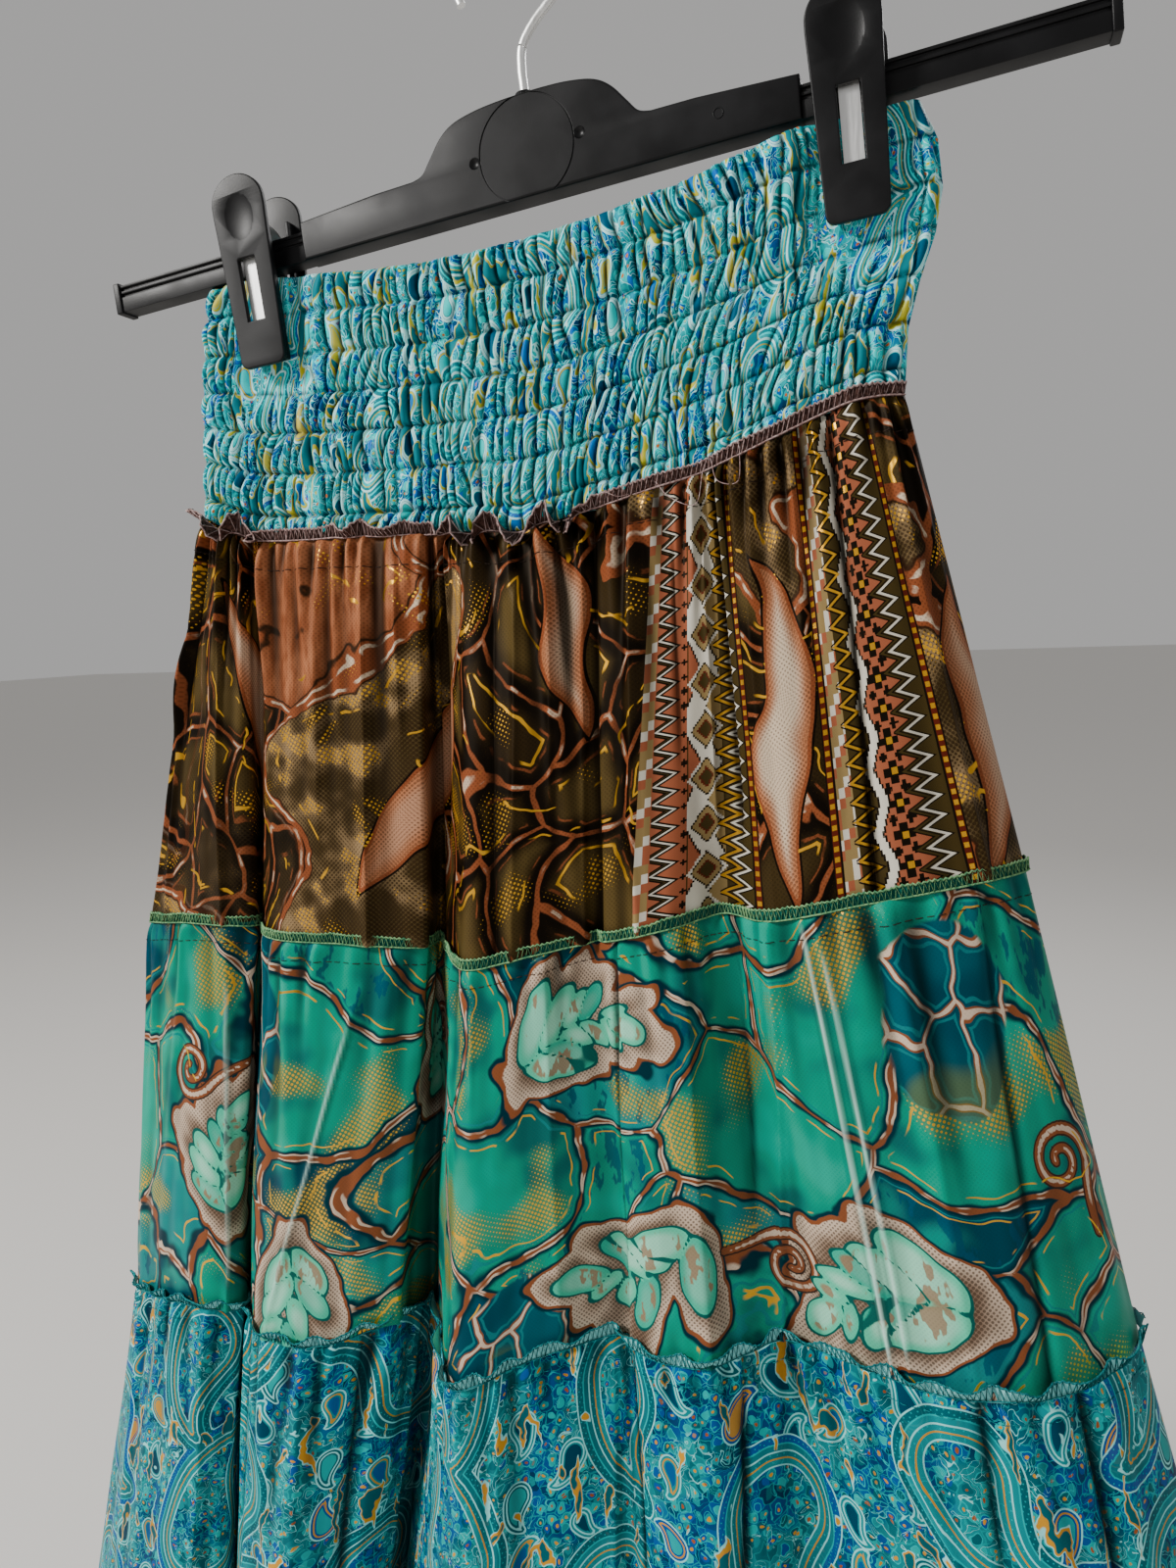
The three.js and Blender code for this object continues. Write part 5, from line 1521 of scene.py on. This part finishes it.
for side in (-1, 1):
    x0, x1 = sorted((side * (BODY_HALF - 2), side * (BAR_HALF - 2)))
    bar_pieces.append(extrusion("rib", [(1.3, -6.8), (9.2, -6.8), (9.2, 3.4), (1.3, 3.4), (1.3, 2.4), (2.1, 2.2), (2.1, 1.3), (1.3, 1.1), (1.3, 0.1), (2.1, -0.1), (2.1, -1.0), (1.3, -1.2)], x0, x1, 0.18))
    x0, x1 = sorted((side * (BAR_HALF - 3), side * BAR_HALF))
    bar_pieces.append(box_mesh("end", x0, x1, 0.6, 9.8, -7.4, 4.4, 0.5))
bar_pieces.append(lathe("nub", [(4.2, 22.9), (4.15, 23.4), (3.5, 27.5), (3.2, 27.9), (1.4, 27.95)], 0, 5))
ring_points = np.array([(67.0 + 1.6 * math.cos(t), -0.02, 1.6 + 1.6 * math.sin(t)) for t in np.linspace(0, 2 * math.pi, 41)])
ring = joined("gate_mark", [tube(ring_points, 0.22, 6)])
bar_pieces.append(ring)
bar = as_one("hanger_bar_shell", bar_pieces, plastic, "hanger_bar")

hook_path = [(0, 5, 27.6), (0, 5, 31), (0, 5, 36), (1.2, 5, 43), (6.5, 5, 49.3)]
for k in range(16):
    t = math.radians(-50 + 17 * k)
    hook_path.append(((HOOK_R + WIRE_R) * math.cos(t), 5, SEAT - HOOK_R + (HOOK_R + WIRE_R) * math.sin(t)))
hook = as_one("hanger_hook_shell", [joined("hook_wire", [tube(catmull_open(np.array(hook_path, float), 220), WIRE_R, 20)])], steel, "hanger_hook", 60)

ARM_LEAN = 0.04
for side, cx in (("left", CLIP_X[0]), ("right", CLIP_X[1])):
    for which in ("front", "back"):
        name = f"clip_{side}_{which}_arm"
        o = clip_arm(name + "_shell")
        extra = [
            box_mesh("wall", -8.6, -7.1, 1.9, 6.3, -40.5, 13.6, 0.35),
            box_mesh("wall", 7.1, 8.6, 1.9, 6.3, -40.5, 13.6, 0.35),
            box_mesh("jaw", -8.5, 8.5, 1.9, 6.6, -40.7, -35.2, 0.4),
            box_mesh("teeth", -7.9, 8.0, 6.5, 6.9, -40.0, -39.0, 0.1),
            box_mesh("teeth", -7.9, 8.0, 6.5, 6.9, -37.6, -36.6, 0.1),
        ]
        pieces = [o] + extra
        vs, fs, off = [], [], 0
        for p in pieces:
            co = np.zeros(len(p.data.vertices) * 3)
            p.data.vertices.foreach_get("co", co)
            vs.append(co.reshape(-1, 3))
            fs += [tuple(i + off for i in q.vertices) for q in p.data.polygons]
            off += len(p.data.vertices)
        v = np.vstack(vs) / MM
        for p in extra:
            bpy.data.objects.remove(p)
        y = -5.8 + v[:, 1] - ARM_LEAN * np.maximum(0, v[:, 2] + 35)
        if which == "back":
            y = 10 - y
            fs = [q[::-1] for q in fs]
        x, z = v[:, 0] + cx, v[:, 2] - SEAT
        y = y - 5
        w = np.stack([math.cos(TILT) * x - math.sin(TILT) * z, y, math.sin(TILT) * x + math.cos(TILT) * z], -1)
        bpy.data.objects.remove(o)
        me = bpy.data.meshes.new(name + "_shell")
        me.from_pydata((w * MM).tolist(), [], fs)
        me.update()
        arm = collection_add(bpy.data.objects.new(name + "_shell", me))
        smooth_by_angle(arm)
        me.materials.append(plastic)
        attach(arm, "root")
        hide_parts(name)

for o in bpy.data.objects:
    if o.type == "MESH" and o.name.endswith("_spring"):
        for i in range(len(o.material_slots)):
            o.material_slots[i].material = steel

# ------------------------------------------------------------------ floor, light and camera
def plain(name, color, rough):
    m = bpy.data.materials.new(name)
    m.use_nodes = True
    b = next(n for n in m.node_tree.nodes if n.type == "BSDF_PRINCIPLED")
    b.inputs["Base Color"].default_value = (*color, 1)
    b.inputs["Roughness"].default_value = rough
    return m


floor = mesh_object("floor", [(-20000, -20000, -960), (20000, -20000, -960), (20000, 20000, -960), (-20000, 20000, -960)], [(0, 1, 2, 3)], flat_shade=True)
floor.data.materials.append(plain("pale_floor", (0.72, 0.70, 0.67), 0.8))

world = bpy.data.worlds.new("studio")
bpy.context.scene.world = world
world.use_nodes = True
bg = next(n for n in world.node_tree.nodes if n.type == "BACKGROUND")
bg.inputs[0].default_value = (0.80, 0.79, 0.78, 1)
bg.inputs[1].default_value = 0.52


def area(name, at, target, size, power, color=(1, 1, 1)):
    l = bpy.data.lights.new(name, "AREA")
    l.shape, l.size, l.energy, l.color = "DISK", size, power, color
    o = collection_add(bpy.data.objects.new(name, l))
    o.location = at
    o.rotation_euler = (Vector(target) - Vector(at)).to_track_quat("-Z", "Y").to_euler()
    return o


area("key", (-1.75, -1.45, 1.05), (0, 0, -0.4), 0.6, 84, (1.0, 0.98, 0.95))
area("fill", (1.7, -1.3, 0.1), (0, 0, -0.4), 1.4, 2.5, (0.95, 0.98, 1.0))
area("rim", (0.6, 1.5, 0.9), (0, 0, -0.3), 1.0, 14)

yaw, pitch, roll = math.radians(20.017), math.radians(-8.563), math.radians(-2.275)
fw = Vector((-math.sin(yaw) * math.cos(pitch), math.cos(yaw) * math.cos(pitch), math.sin(pitch)))
right = fw.cross(Vector((0, 0, 1))).normalized()
up = right.cross(fw)
r2 = right * math.cos(roll) + up * math.sin(roll)
u2 = -right * math.sin(roll) + up * math.cos(roll)
cam_data = bpy.data.cameras.new("camera")
cam_data.sensor_width, cam_data.sensor_fit = 36, "AUTO"
cam_data.lens = 1075.3 * 36 / 1600
cam_data.clip_start, cam_data.clip_end = 0.02, 60
cam = collection_add(bpy.data.objects.new("camera", cam_data))
m = Matrix((r2, u2, -fw)).transposed().to_4x4()
m.translation = Vector((0.1525, -0.3682, -0.2458))
cam.matrix_world = m
bpy.context.scene.camera = cam
